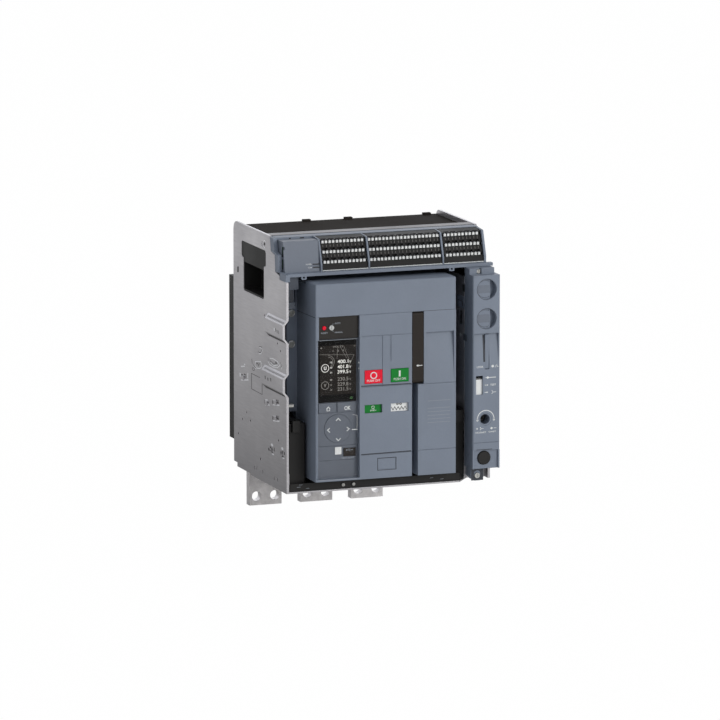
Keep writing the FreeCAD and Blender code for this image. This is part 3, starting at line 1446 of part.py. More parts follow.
def front_cover():
    """The breaker's front moulding: band, left strip, middle panel and their walls."""
    w = cover_wall
    t = panel_t
    x0 = -cover_left
    x1 = cover_right
    shape = block(x0, x1, face_y, case_y0, cover_z, cover_top)
    front_corner = [e for e in outer_edges(shape, 2) if e.BoundBox.YMax < face_y + 1.0]
    shape = shape.makeFillet(1.5, front_corner)
    top_front = [
        e for e in shape.Edges
        if e.BoundBox.ZMin > cover_top - 0.1 and e.BoundBox.YMax < face_y + 0.1 and e.Length > cover_right
    ]
    shape = shape.makeChamfer(1.0, top_front)
    cuts = [
        block(x0 - 1.0, x1 + 1.0, face_y + band_top_d, case_y0 + 1.0, case_top, cover_top + 1.0),
        block(x0 + w, x1 - w, face_y + t, case_y0 + 1.0, cover_z + w, band_z),
        block(x0 + w, x1 - w, face_y + t, case_y0 + 1.0, band_z + w, case_top - w),
        block(middle_right, x1 + 1.0, face_y - 1.0, case_y0 + 1.0, cover_z - 1.0, band_z),
        block(trip_x0, trip_x1, face_y - 1.0, face_y + t + 1.0, cover_z + w, band_z),
    ]
    shape = shape.cut(Part.makeCompound(cuts[:1])).cut(cuts[1]).cut(cuts[2]).cut(cuts[3]).cut(cuts[4])
    wall_y1 = face_y + wall_deep
    walls = [
        block(trip_x1, trip_x1 + divider_w, face_y, wall_y1, cover_z + w, band_z),
        block(middle_right - w, middle_right, face_y, wall_y1, cover_z + w, band_z),
        block(x0 + 1.0, trip_x0, face_y + t, trip_y + 20.0, cover_z + w, band_z),
    ]
    shape = fuse([shape] + walls)
    middle_x0 = trip_x1 + divider_w
    button_z = band_z - button_drop
    for x in (off_x, on_x):
        shape = shape.cut(block(
            x - button_w / 2 - clearance, x + button_w / 2 + clearance, face_y - 1.0, face_y + t + 1.0,
            button_z - button_h / 2 - clearance, button_z + button_h / 2 + clearance))
        window_z = band_z - window_drop
        shape = shape.cut(block(
            x - button_w / 2, x + button_w / 2, face_y - 1.0, face_y + t + 1.0,
            window_z - window_h / 2, window_z + window_h / 2))
    seams = [
        groove_x(middle_x0, middle_right, band_z - panel_seam_a, face_y),
        groove_x(middle_x0, middle_right, band_z - panel_seam_b, face_y),
        groove_x(middle_x0, middle_right, band_z - panel_seam_c, face_y),
        groove_x(x0 - 1.0, trip_x0, band_z, face_y),
        groove_x(trip_x1, middle_right, band_z, face_y),
        groove_z(middle_x0 + middle_seam_a, band_z - panel_seam_b, band_z - panel_seam_a, face_y),
        groove_z(middle_x0 + middle_seam_b, band_z - middle_seam_end, band_z - panel_seam_a, face_y),
    ]
    shape = shape.cut(Part.makeCompound(seams[:3])).cut(seams[3]).cut(seams[4]).cut(seams[5]).cut(seams[6])
    knock_x = middle_x0 + knock_in
    frame = block(knock_x, knock_x + knock_w, face_y - 1.0, face_y + 0.5, knock_z, knock_z + knock_h)
    core = block(
        knock_x + 0.6, knock_x + knock_w - 0.6, face_y - 1.0, face_y + 0.5, knock_z + 0.6, knock_z + knock_h - 0.6)
    shape = shape.cut(frame.cut(core))
    hinge_x = trip_x0 - hinge_in
    shape = shape.cut(block(
        hinge_x - hinge_r - 0.2, trip_x0 + 0.01, face_y - 1.0, face_y + 3.5,
        door_z0 - clearance, door_z1 + clearance))
    pin_room = round_about(hinge_pin_r + running, 8)
    pins = prism_z(hinge_x, face_y + hinge_back, door_z0 - 2.5, door_z1 + 2.5, pin_room, 8)
    shape = shape.cut(pins)
    axle = rod_x(middle_right - 1.7, middle_right + 1.0, handle_y, handle_z, axle_r + running)
    return shape.cut(axle).removeSplitter()


def right_cover():
    """The right part of the front: blank plate, finger dish, low panel and the handle's channel."""
    w = cover_wall
    t = panel_t
    x1 = cover_right
    deep = face_y + wall_deep
    floor_y = face_y + channel_deep
    shape = fuse([
        block(right_x, x1, face_y, face_y + t, low_panel_z, band_z),
        block(low_panel_x, x1, face_y, face_y + t, cover_z, low_panel_z),
        block(x1 - w, x1, face_y, case_y0, cover_z, band_z),
        block(right_x, right_x + w, face_y, deep, low_panel_z, band_z),
        block(low_panel_x, low_panel_x + w, face_y, deep, cover_z, low_panel_z),
        block(low_panel_x, right_x + w, face_y, deep, low_panel_z - w, low_panel_z),
        block(middle_right, right_x + w, floor_y, deep, cover_z, band_z),
        block(low_panel_x, x1, face_y, case_y0, cover_z, cover_z + w),
        block(right_x, x1, face_y, case_y0, band_z - w, band_z),
        block(right_x, x1, face_y + t, face_y + t + scoop_depth, low_panel_z, band_z - logo_block_h + w),
    ])
    shape = shape.cut(scoop(right_x + w, x1 - w, low_panel_z + 1.5, band_z - logo_block_h, scoop_depth))
    shape = shape.cut(groove_x(low_panel_x - 1.0, x1 + 1.0, low_seam_z, face_y))
    shape = shape.cut(groove_x(right_x - 1.0, x1 + 1.0, low_panel_z, face_y))
    axle = rod_x(right_x - 1.0, right_x + 1.7, handle_y, handle_z, axle_r + running)
    return shape.cut(axle).removeSplitter()


def push_button(x, z, width, height):
    """A push button with its collar and stem."""
    y0 = face_y - button_proud
    y1 = face_y + panel_t + 1.2
    cap = block(x - width / 2, x + width / 2, y0, y1, z - height / 2, z + height / 2)
    rim = [e for e in cap.Edges if e.BoundBox.YMax < y0 + 0.1]
    cap = cap.makeChamfer(0.4, rim)
    collar = block(
        x - width / 2 - 1.5, x + width / 2 + 1.5, face_y + panel_t + 0.2, y1,
        z - height / 2 - 1.5, z + height / 2 + 1.5)
    stem = prism_y(x, y1, y1 + 14.0, z, stem_r, 8)
    return fuse([cap, collar, stem])


def indicator(x):
    """A flag that slides down behind its window, with its driving stem."""
    y0 = face_y + panel_t + 0.2
    middle = band_z - window_drop
    low = middle - window_h / 2 - 1.0
    high = middle + window_h / 2 + 1.0 + indicator_travel
    plate = block(x - button_w / 2 - 0.8, x + button_w / 2 + 0.8, y0, y0 + flag_t, low, high)
    stem = prism_y(x, y0 + flag_t, y0 + 13.0, (low + high) / 2, stem_r - 1.0, 8)
    return plate.fuse(stem).removeSplitter()


def charging_handle():
    """The charging handle, hung on its own axle near its foot, with a finger hollow at its top."""
    x0 = handle_x - handle_w / 2
    x1 = handle_x + handle_w / 2
    z0 = handle_z - handle_axis_up
    z1 = z0 + handle_h
    y0 = handle_y - handle_axis_back
    y1 = y0 + handle_d
    shape = block(x0, x1, y0, y1, z0, z1)
    foot = [
        e for e in outer_edges(shape, 0)
        if e.BoundBox.YMax < y0 + 0.1 and e.BoundBox.ZMax < z0 + 0.1
    ]
    shape = shape.makeFillet(5.0, foot)
    nose = [
        e for e in outer_edges(shape, 0)
        if e.BoundBox.YMax < y0 + 0.1 and e.BoundBox.ZMin > z1 - 0.1
    ]
    shape = shape.makeFillet(3.0, nose)
    shape = shape.cut(block(x0 + 2.2, x1 - 2.2, y0 + 3.0, y1 + 1.0, handle_z + 12.0, z1 - 2.5))
    axle = rod_x(middle_right - 1.5, right_x + 1.5, handle_y, handle_z, axle_r)
    return shape.fuse(axle).removeSplitter()


def key_places():
    """The three keys of the trip unit, as outlines before a margin is added."""
    return {
        "home": (trip_x0 + 1.6, trip_x0 + trip_w / 2 - 2.0, key_z0, key_z0 + key_h - 0.4),
        "ok": (trip_x0 + trip_w / 2 - 0.6, trip_x1 - 3.0, key_z0, key_z0 + key_h - 0.4),
    }


def trip_unit_body():
    """The electronic trip unit's housing, with the pockets for its keys and buttons."""
    y0 = trip_y
    y1 = y0 + trip_d
    z0 = cover_z + cover_wall
    shape = block(trip_x0, trip_x1, y0, y1, z0, band_z - 0.3)
    w = 2.5
    shape = shape.cut(block(trip_x0 + w, trip_x1 - w, y0 + trip_front_t, y1 + 1.0, z0 + w, band_z - 0.3 - w))
    for x0, x1, low, high in key_places().values():
        shape = shape.cut(block(
            x0 - clearance, x1 + clearance, y0 - 1.0, y0 + key_pocket, low - clearance, high + clearance))
        shape = shape.cut(prism_y(
            (x0 + x1) / 2, y0, y0 + trip_front_t + 1.0, (low + high) / 2, key_stem_r + 0.2, 4))
    shape = shape.cut(prism_y(pad_x, y0 - 1.0, y0 + key_pocket, pad_z, pad_r + clearance, 40))
    shape = shape.cut(prism_y(pad_x, y0, y0 + trip_front_t + 1.0, pad_z, key_stem_r + 0.2, 4))
    shape = shape.cut(prism_y(reset_x, y0 - 1.0, y0 + trip_front_t + 1.0, reset_z, reset_r + clearance, 16))
    shape = shape.cut(prism_y(
        selector_x, y0 - 1.0, y0 + trip_front_t + 1.0, reset_z, round_about(selector_r + running, 16), 16))
    shape = shape.cut(block(
        usb_x - usb_w / 2 - clearance, usb_x + usb_w / 2 + clearance, y0 - 1.0, y0 + 2.5,
        usb_z - usb_h / 2 - clearance, usb_z + usb_h / 2 + clearance))
    shape = shape.cut(block(usb_x - 4.0, usb_x + 4.0, y0, y0 + trip_front_t + 1.0, usb_z - 1.5, usb_z + 1.5))
    shape = shape.cut(groove_x(trip_x0 - 1.0, trip_x1 + 1.0, usb_z + usb_h / 2 + 4.0, y0))
    return shape.cut(groove_x(trip_x0 - 1.0, trip_x1 + 1.0, usb_z - usb_h / 2 - 4.0, y0))


def display_panels():
    """The dark control panel at the top of the trip unit and the display's glass below it."""
    low = band_z - upper_panel_h
    upper = block(trip_x0, trip_x1, trip_y - 3.0, trip_y, low, band_z - 0.3)
    upper = upper.cut(prism_y(reset_x, trip_y - 4.0, trip_y + 1.0, reset_z, reset_r + clearance, 16))
    upper = upper.cut(prism_y(
        selector_x, trip_y - 4.0, trip_y + 1.0, reset_z, round_about(selector_r + running, 16), 16))
    glass = block(trip_x0 + 0.4, trip_x1 - 2.8, trip_y - 1.5, trip_y, display_z0, low - 1.0)
    return [upper, glass]


def key(name):
    """A flat key of the trip unit with its stem."""
    x0, x1, low, high = key_places()[name]
    plate = block(x0, x1, trip_y - key_proud, trip_y + key_pocket - 1.2, low, high)
    plate = plate.makeChamfer(0.3, [e for e in plate.Edges if e.BoundBox.YMax < trip_y - key_proud + 0.1])
    y0 = trip_y + key_pocket - 1.2
    stem = prism_y((x0 + x1) / 2, y0, trip_y + trip_front_t, (low + high) / 2, key_stem_r, 4)
    return plate.fuse(stem).removeSplitter()


def nav_pad():
    """The round rocker key with its stem."""
    disc = prism_y(pad_x, trip_y - key_proud / 2, trip_y + key_pocket - 1.2, pad_z, pad_r, 40)
    stem = prism_y(pad_x, trip_y + key_pocket - 1.2, trip_y + trip_front_t, pad_z, key_stem_r, 4)
    return disc.fuse(stem).removeSplitter()


def reset_button():
    """The small reset plunger."""
    shape = prism_y(reset_x, trip_y - 4.2, trip_y + 5.0, reset_z, reset_r, 16)
    return shape.makeChamfer(0.4, [e for e in shape.Edges if e.BoundBox.YMax < trip_y - 4.1])


def mode_selector():
    """The slotted rotary selector."""
    shape = rod_y(selector_x, trip_y - 4.6, trip_y + 5.0, reset_z, selector_r)
    slot = block(
        selector_x - 0.5, selector_x + 0.5, trip_y - 5.6, trip_y - 3.4,
        reset_z - selector_r + 0.8, reset_z + selector_r - 0.8)
    return shape.cut(slot)


def usb_cover():
    """The small flap over the service socket, rounded at its foot round the hinge."""
    y0 = trip_y - 0.8
    z0 = usb_z - usb_h / 2
    shape = block(usb_x - usb_w / 2, usb_x + usb_w / 2, y0, y0 + 1.6, z0, usb_z + usb_h / 2)
    foot = [e for e in outer_edges(shape, 0) if e.BoundBox.ZMax < z0 + 0.1]
    return shape.makeFillet(0.75, foot)


def trip_unit_cover():
    """The clear door over the display and keys, with its hinge barrel and pins."""
    hinge_x = trip_x0 - hinge_in
    y = face_y + hinge_back
    door = block(hinge_x, trip_x1 - clearance, y - clear_t, y, door_z0, door_z1)
    barrel = prism_z(hinge_x, y, door_z0, door_z1, hinge_r)
    pin = rod_z(hinge_x, y, door_z0 - 1.8, door_z1 + 1.8, hinge_pin_r)
    knob = block(trip_x1 - 6.0, trip_x1 - clearance, y - clear_t - 1.0, y - clear_t, latch_z - 6.0, latch_z + 6.0)
    return fuse([door, barrel, pin, knob])


# Each node is written in turn
os.makedirs("parts", exist_ok=True)

save("left_side_plate", [side_plate(left_out, -1, front_y)])
save("right_side_plate", [side_plate(right_out, 1, front_y + right_plate_back)])
save("lifting_pockets", [lifting_pocket(left_in, -1), lifting_pocket(right_in, 1)])
save("base_plate", [base_plate()])
save("base_tray", [base_tray()])
save("rail_guides", [rail_guide(-1), rail_guide(1)])
save("racking_wall", [racking_wall()])
save("racking_housing", [racking_housing()])
save("rear_housing", [rear_housing()])
save("top_cover", [top_cover()])
save("upper_crossbar", [upper_crossbar()])

save("terminal_carrier", [terminal_carrier()])
spans = []
block_ends = [rib_x + rib_t / 2 for rib_x in rib_xs] + [right_in - 3.0 + rib_t]
block_names = ("left", "middle", "right")
for i in range(len(block_names)):
    span_x0 = block_ends[i]
    span_x1 = block_ends[i + 1] - rib_t
    spans.append((span_x0, span_x1, pair_counts[i]))
    save("terminal_block_" + block_names[i], [terminal_block(span_x0, span_x1, pair_counts[i])])
save("terminal_levers", terminal_levers(spans))
save("communication_module", [communication_module()])

save("upper_terminals", [upper_terminal(x) for x in poles])
save("lower_terminals", [lower_terminal(x) for x in poles])
save("terminal_flags", [terminal_flag(x) for x in poles])

screws = []
for pole_x in poles:
    for side in (-1, 1):
        screws.append(terminal_bolt(pole_x + side * terminal_hole_gap / 2))
foot_face = face_y + head_back
notch_x = bay_right + (notch_x0 + notch_x1) / 2
screws.append(screw_head(notch_x, foot_face + notch_deep, lip_z - notch_drop + 2.6, (notch_x1 - notch_x0) / 2 - 0.6))
screws.append(screw_head(foot_at, foot_face + 1.2, foot_z + 6.6, screw_head_r))
for screw_x in tray_screws:
    screws.append(screw_head(screw_x, front_y + tray_inset, base_t + tray_lip - tray_screw_drop, tray_screw_r))
screws.append(prism_x(left_in, left_in + 7.0, front_y + 3.0, lower_z + 0.5, 2.5, 8))
save("chassis_screws", screws)

save("racking_screw", [racking_screw()])
save("racking_carriage", [racking_carriage()])
save("position_flag", [position_flag()])
save("release_button", [release_button()])
save("padlock_tab", [padlock_tab()])
save("left_extension_rail", [extension_rail(-1)])
save("right_extension_rail", [extension_rail(1)])
save("upper_shutter", [shutter(upper_z + cluster_h / 2 + shutter_margin)])
save("lower_shutter", [shutter(lower_z - cluster_h / 2 - shutter_margin - shutter_h)])

hollows = case_hollows()
save("pole_case_front", [case_section(case_y0, case_split).cut(hollows).removeSplitter()])
save("pole_case_rear", [case_section(case_split, case_y1).cut(hollows).removeSplitter()])
save("arc_chutes", [arc_chute(x) for x in poles])
save("upper_contacts", [upper_contact(x) for x in poles])
save("lower_contacts", [lower_contact(x) for x in poles])
save("moving_contacts", [moving_contact(x) for x in poles])
save("current_sensors", [current_sensor(x) for x in poles])
clusters = []
for x in poles:
    for z in (lower_z, upper_z):
        clusters += finger_cluster(x, z)
save("finger_clusters", clusters)
save("side_runners", [side_runner(-1), side_runner(1)])
save("mechanism_plates", [mechanism_plates()])
save("closing_spring", [closing_spring()])
save("cam_shaft", [cam_shaft()])
save("pole_shaft", [pole_shaft()])

save("front_cover", [front_cover()])
save("right_cover", [right_cover()])
button_z = band_z - button_drop
save("off_button", [push_button(off_x, button_z, button_w, button_h)])
save("on_button", [push_button(on_x, button_z, button_w, button_h)])
save("contact_indicator", [indicator(off_x)])
save("spring_indicator", [indicator(on_x)])
save("charging_handle", [charging_handle()])
flange_screws = []
for row in range(2):
    flange_z = case_neck_z - flange_screw_drop - row * flange_screw_pitch
    for side in (-1, 1):
        flange_x = side * (case_half - flange_screw_in)
        flange_screws.append(screw_head(flange_x, case_y0, flange_z, screw_head_r + 1.4))
save("breaker_screws", flange_screws)

save("trip_unit_body", [trip_unit_body()])
save("display_panels", display_panels())
save("home_key", [key("home")])
save("ok_key", [key("ok")])
save("nav_pad", [nav_pad()])
save("reset_button", [reset_button()])
save("mode_selector", [mode_selector()])
save("usb_cover", [usb_cover()])
save("trip_unit_cover", [trip_unit_cover()])
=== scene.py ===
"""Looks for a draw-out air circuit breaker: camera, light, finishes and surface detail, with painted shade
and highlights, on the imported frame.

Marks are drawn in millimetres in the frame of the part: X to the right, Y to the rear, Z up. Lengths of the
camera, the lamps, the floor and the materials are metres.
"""
import math

import bmesh
import bpy
from mathutils import Matrix, Vector


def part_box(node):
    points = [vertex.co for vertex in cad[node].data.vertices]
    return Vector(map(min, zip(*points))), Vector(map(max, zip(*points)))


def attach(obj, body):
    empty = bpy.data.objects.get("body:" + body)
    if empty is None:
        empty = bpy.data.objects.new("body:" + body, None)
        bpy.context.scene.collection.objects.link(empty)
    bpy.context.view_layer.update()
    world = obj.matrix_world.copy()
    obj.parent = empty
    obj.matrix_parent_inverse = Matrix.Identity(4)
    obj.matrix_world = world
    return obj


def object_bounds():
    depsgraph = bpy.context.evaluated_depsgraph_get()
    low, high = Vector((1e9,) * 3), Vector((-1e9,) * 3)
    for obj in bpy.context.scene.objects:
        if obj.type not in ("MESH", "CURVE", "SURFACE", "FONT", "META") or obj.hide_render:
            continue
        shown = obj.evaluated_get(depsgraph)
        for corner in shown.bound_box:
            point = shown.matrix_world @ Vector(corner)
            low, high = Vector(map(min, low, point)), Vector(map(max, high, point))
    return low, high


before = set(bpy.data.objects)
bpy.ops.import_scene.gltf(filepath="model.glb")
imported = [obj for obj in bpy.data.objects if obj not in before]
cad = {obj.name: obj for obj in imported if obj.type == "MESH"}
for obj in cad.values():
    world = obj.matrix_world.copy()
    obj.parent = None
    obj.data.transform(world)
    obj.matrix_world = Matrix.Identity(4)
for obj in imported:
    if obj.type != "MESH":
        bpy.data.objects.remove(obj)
cad_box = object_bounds()
MM = 0.001


class Graph:
    """The node tree of a material or a world, with short ways to add nodes to it."""

    def __init__(self, owner):
        owner.use_nodes = True
        self.nodes = owner.node_tree.nodes
        self.links = owner.node_tree.links

    def add(self, kind, **values):
        """A node with some of its inputs set."""
        node = self.nodes.new("ShaderNode" + kind)
        for socket, value in values.items():
            node.inputs[socket.replace("_", " ")].default_value = value
        return node

    def maths(self, operation, first, second):
        node = self.add("Math")
        node.operation = operation
        self.links.new(first, node.inputs[0])
        self.links.new(second, node.inputs[1])
        return node.outputs[0]

    def weighted(self, value, weight, added):
        """A value times a plain number, plus another value."""
        node = self.add("Math")
        node.operation = "MULTIPLY_ADD"
        node.inputs[1].default_value = weight
        self.links.new(value, node.inputs[0])
        self.links.new(added, node.inputs[2])
        return node.outputs[0]

    def span(self, value, low, high, start=0.3, end=0.7):
        """A value that goes from low to high while another goes from start to end."""
        node = self.add("MapRange", From_Min=start, From_Max=end, To_Min=low, To_Max=high)
        self.links.new(value, node.inputs["Value"])
        return node.outputs[0]

    def ray(self, kind):
        return self.add("LightPath").outputs["Is " + kind + " Ray"]

    def seen_directly(self):
        """1 for rays that look straight at or through to a surface, and 0 for those that light or mirror."""
        return self.maths("MAXIMUM", self.ray("Camera"), self.ray("Transmission"))

    def when_mirrored(self, plain, mirrored):
        """A plain number for most rays, and another value for mirrored ones."""
        node = self.add("MapRange", To_Min=plain)
        self.links.new(self.ray("Glossy"), node.inputs["Value"])
        self.links.new(mirrored, node.inputs["To Max"])
        return node.outputs[0]

    def surface(self, output, factor, first, second):
        """Ends the tree in a mix of two shaders."""
        mix = self.add("MixShader")
        for socket, source in zip(mix.inputs, (factor, first.outputs[0], second.outputs[0])):
            self.links.new(source, socket)
        self.links.new(mix.outputs[0], self.add(output).inputs["Surface"])


# Camera, light and floor

def make_camera():
    """The camera that was solved from the straight edges in the photo."""
    data = bpy.data.cameras.new("photo_camera")
    data.sensor_width = 36.0
    data.lens = 338.156
    data.clip_end = 40.0
    camera = bpy.data.objects.new("photo_camera", data)
    place = (-2.92444, -7.98277, 1.64827)
    right = Vector((0.93858, -0.34508, 0.0))
    up = Vector((0.05999, 0.16316, 0.98479))
    ahead = Vector((0.33983, 0.92429, -0.17384))
    turn = Matrix((right, up, -ahead)).transposed().to_4x4()
    camera.matrix_world = Matrix.Translation(place) @ turn
    bpy.context.scene.collection.objects.link(camera)
    bpy.context.scene.camera = camera


def add_lamp(name, place, size, power, tint):
    """A softbox that faces the middle of the part."""
    data = bpy.data.lights.new(name, "AREA")
    data.shape = "RECTANGLE"
    data.size, data.size_y = size
    data.energy = power
    data.color = tint
    lamp = bpy.data.objects.new(name, data)
    lamp.location = place
    middle = Vector((0.01, 0.0, 0.16))
    lamp.rotation_euler = (middle - Vector(place)).to_track_quat("-Z", "Y").to_euler()
    bpy.context.scene.collection.objects.link(lamp)


def make_lights():
    add_lamp("front_softbox", (1.7, -3.1, 1.15), (2.0, 1.8), 54.0, (1.0, 0.99, 0.97))
    add_lamp("top_softbox", (-0.3, -0.5, 2.4), (1.8, 1.4), 1.0, (0.97, 0.98, 1.0))
    add_lamp("rear_fill", (1.6, 2.6, 1.5), (2.0, 1.6), 8.0, (0.98, 0.98, 1.0))


def make_world():
    """White to look at, dim as a light, and a bright sky over a dark horizon for mirrored rays."""
    dim_light = 0.5
    world = bpy.data.worlds.new("studio")
    graph = Graph(world)
    graph.nodes.clear()
    split = graph.add("SeparateXYZ")
    graph.links.new(graph.add("TexCoord").outputs["Generated"], split.inputs[0])
    rising = graph.span(split.outputs["Z"], 0.25, 1.5, 0.1, 0.34)
    fading = graph.span(split.outputs["Z"], 1.0, 0.25, 0.4, 0.7)
    soft = graph.add("Background", Color=(0.94, 0.96, 1.0, 1.0))
    strength = graph.when_mirrored(dim_light, graph.maths("MULTIPLY", rising, fading))
    graph.links.new(strength, soft.inputs["Strength"])
    white = graph.add("Background", Color=(1.0, 1.0, 1.0, 1.0), Strength=1.0)
    graph.surface("OutputWorld", graph.seen_directly(), soft, white)
    bpy.context.scene.world = world


def make_floor():
    """A wide pale floor just under the lowest point, which keeps a soft shadow."""
    half, gap, glow_share = 8.0, 0.0005, 0.994
    level = cad_box[0][2] - gap
    mesh = bpy.data.meshes.new("floor")
    mesh.from_pydata([(x, y, level) for x, y in rect(-half, half, -half, half)], [], [(0, 1, 2, 3)])
    floor = bpy.data.objects.new("floor", mesh)
    bpy.context.scene.collection.objects.link(floor)
    material = bpy.data.materials.new("floor_paper")
    graph = Graph(material)
    graph.nodes.clear()
    paper = graph.add("BsdfDiffuse", Color=(0.75, 0.75, 0.75, 1.0))
    # Mirrored rays meet a floor that is bright in front of the part and grows brighter away from it behind
    place = graph.add("TexCoord").outputs["Object"]
    far = graph.add("VectorMath")
    far.operation = "LENGTH"
    graph.links.new(place, far.inputs[0])
    split = graph.add("SeparateXYZ")
    graph.links.new(place, split.inputs[0])
    front = graph.span(split.outputs["Y"], 0.0, 0.95, 0.0, -0.2)
    away = graph.span(far.outputs["Value"], 0.3, 0.78, 0.3, 1.9)
    glow = graph.add("Emission")
    strength = graph.when_mirrored(1.0, graph.maths("MAXIMUM", away, front))
    graph.links.new(strength, glow.inputs["Strength"])
    # What the camera sees is nearly all glow, and the rest is paper, which holds the shadow
    share = graph.weighted(graph.seen_directly(), glow_share, graph.ray("Glossy"))
    graph.surface("OutputMaterial", share, paper, glow)
    mesh.materials.append(material)


# Finishes

def linear(rgb):
    """A colour given as 0 to 255 screen values, as the shader's linear ones."""
    def one(value):
        value /= 255.0
        return value / 12.92 if value <= 0.04045 else ((value + 0.055) / 1.055) ** 2.4
    return tuple(one(v) for v in rgb) + (1.0,)


def scaled(colour, factor):
    return tuple(min(1.0, c * factor) for c in colour[:3]) + (1.0,)


class Finish(Graph):
    """A material under way: a Principled shader with helpers that hang textures on it."""

    def __init__(self, name):
        self.material = bpy.data.materials.new(name)
        super().__init__(self.material)
        self.shader = self.nodes["Principled BSDF"]
        self.place = self.add("TexCoord").outputs["Object"]

    def set(self, **values):
        for socket, value in values.items():
            self.shader.inputs[socket.replace("_", " ")].default_value = value

    def feed(self, **outputs):
        for socket, output in outputs.items():
            self.links.new(output, self.shader.inputs[socket.replace("_", " ")])

    def noise(self, scale, detail=4.0, rough=0.55, stretch=(1.0, 1.0, 1.0)):
        mapping = self.add("Mapping", Scale=stretch)
        self.links.new(self.place, mapping.inputs["Vector"])
        node = self.add("TexNoise", Scale=scale, Detail=detail, Roughness=rough)
        self.links.new(mapping.outputs[0], node.inputs["Vector"])
        return node.outputs["Fac"]

    def mixed(self, factor, first, second):
        """A colour between two, each a colour or another colour output."""
        node = self.add("Mix")
        node.data_type = "RGBA"
        self.links.new(factor, node.inputs["Factor"])
        for socket, colour in (("A", first), ("B", second)):
            target = [i for i in node.inputs if i.name == socket and i.type == "RGBA"][0]
            if isinstance(colour, tuple):
                target.default_value = colour
            else:
                self.links.new(colour, target)
        return [o for o in node.outputs if o.type == "RGBA"][0]

    def edges(self, radius):
        """How near an edge a point is, and the normal that rounds that edge."""
        bevel = self.add("Bevel", Radius=radius)
        bevel.samples = 4
        dot = self.add("VectorMath")
        dot.operation = "DOT_PRODUCT"
        self.links.new(bevel.outputs[0], dot.inputs[0])
        self.links.new(self.add("NewGeometry").outputs["Normal"], dot.inputs[1])
        return self.span(dot.outputs["Value"], 1.0, 0.0, 0.72, 0.99), bevel.outputs[0]

    def bump(self, height, distance, strength, normal):
        node = self.add("Bump", Distance=distance, Strength=strength)
        self.links.new(height, node.inputs["Height"])
        self.links.new(normal, node.inputs["Normal"])
        return node.outputs[0]

    def shaded_by_height(self, colour, foot, head, z0, z1):
        """A colour that is scaled from one factor at the foot to another at the head, to paint shade that
        changes with height.
        """
        split = self.add("SeparateXYZ")
        self.links.new(self.place, split.inputs[0])
        scale = self.add("VectorMath")
        scale.operation = "SCALE"
        self.links.new(colour, scale.inputs[0])
        self.links.new(self.span(split.outputs["Z"], foot, head, z0, z1), scale.inputs["Scale"])
        return scale.outputs[0]


def moulded(name, rgb, rough=0.5, grain=0.00006, wear_and_highlight=1.35, spread=0.07, shine=0.4):
    """Moulded plastic: fine eroded grain, slow colour drift, and rounded edges that are lighter, partly
    rubbed wear and partly a painted highlight.
    """
    made = Finish(name)
    base = linear(rgb)
    drift = made.noise(14.0, detail=3.0)
    specks = made.noise(420.0, detail=5.0, rough=0.7)
    tone = made.mixed(made.span(drift, 0.0, 1.0), scaled(base, 1.0 - spread), scaled(base, 1.0 + spread))
    speckled = made.mixed(made.span(specks, 0.0, 0.35, 0.45, 0.8), tone, scaled(base, 0.82))
    edge, rounded = made.edges(0.0005)
    # Lighter edges: partly rubbed wear, partly a painted highlight
    rubbed_and_highlit = made.maths("MULTIPLY", edge, made.span(made.noise(60.0, detail=3.0), 0.25, 0.7))
    made.feed(Base_Color=made.mixed(rubbed_and_highlit, speckled, scaled(base, wear_and_highlight)),
              Roughness=made.span(drift, rough - 0.05, rough + 0.06),
              Normal=made.bump(made.noise(1500.0, detail=3.0, rough=0.6), grain, 0.5, rounded))
    made.set(Specular_IOR_Level=shine)
    return made.material


def rolled_steel(name, rgb, foot, metal=0.8, streak=(1.0, 1.0, 14.0)):
    """Zinc-plated sheet: rolling streaks one way, clouds and small dark specks, edges that are lighter,
    partly rubbed wear and partly a painted highlight, and painted shade that darkens it towards the foot.
    """
    rough, head, sheet_height = 0.36, 1.1, 0.3
    made = Finish(name)
    base = linear(rgb)
    streaks = made.noise(38.0, detail=6.0, rough=0.7, stretch=streak)
    clouds = made.noise(9.0)
    lines = made.mixed(made.span(streaks, 0.0, 1.0), scaled(base, 0.86), scaled(base, 1.1))
    cloudy = made.mixed(made.span(clouds, 0.0, 0.5), lines, scaled(base, 0.84))
    specks = made.noise(900.0, rough=0.75)
    edge, rounded = made.edges(0.0004)
    pitted = made.mixed(made.span(specks, 0.0, 0.45, 0.6, 0.85), cloudy, scaled(base, 0.55))
    # Lighter edges: partly rubbed wear, partly a painted highlight
    rubbed_and_highlit = made.mixed(edge, pitted, scaled(base, 1.45))
    # Painted shade: the colour is darker towards the foot of the sheet
    made.feed(Base_Color=made.shaded_by_height(rubbed_and_highlit, foot, head, 0.0, sheet_height),
              Roughness=made.span(clouds, rough - 0.07, rough + 0.09),
              Normal=made.bump(streaks, 0.00005, 0.35, rounded))
    made.set(Metallic=metal)
    return made.material


def turned_metal(name, rgb, rough, metal=1.0):
    """A plated screw, bar or spring: bright, with fine turning marks and tarnish in patches."""
    made = Finish(name)
    base = linear(rgb)
    tarnish = made.noise(70.0, detail=5.0, rough=0.65)
    marks = made.noise(500.0, detail=3.0, rough=0.6, stretch=(1.0, 1.0, 6.0))
    rounded = made.edges(0.0003)[1]
    made.feed(Base_Color=made.mixed(made.span(tarnish, 0.0, 0.8), scaled(base, 1.12), scaled(base, 0.7)),
              Roughness=made.span(tarnish, rough - 0.06, rough + 0.14),
              Normal=made.bump(marks, 0.00004, 0.4, rounded))
    made.set(Metallic=metal)
    return made.material


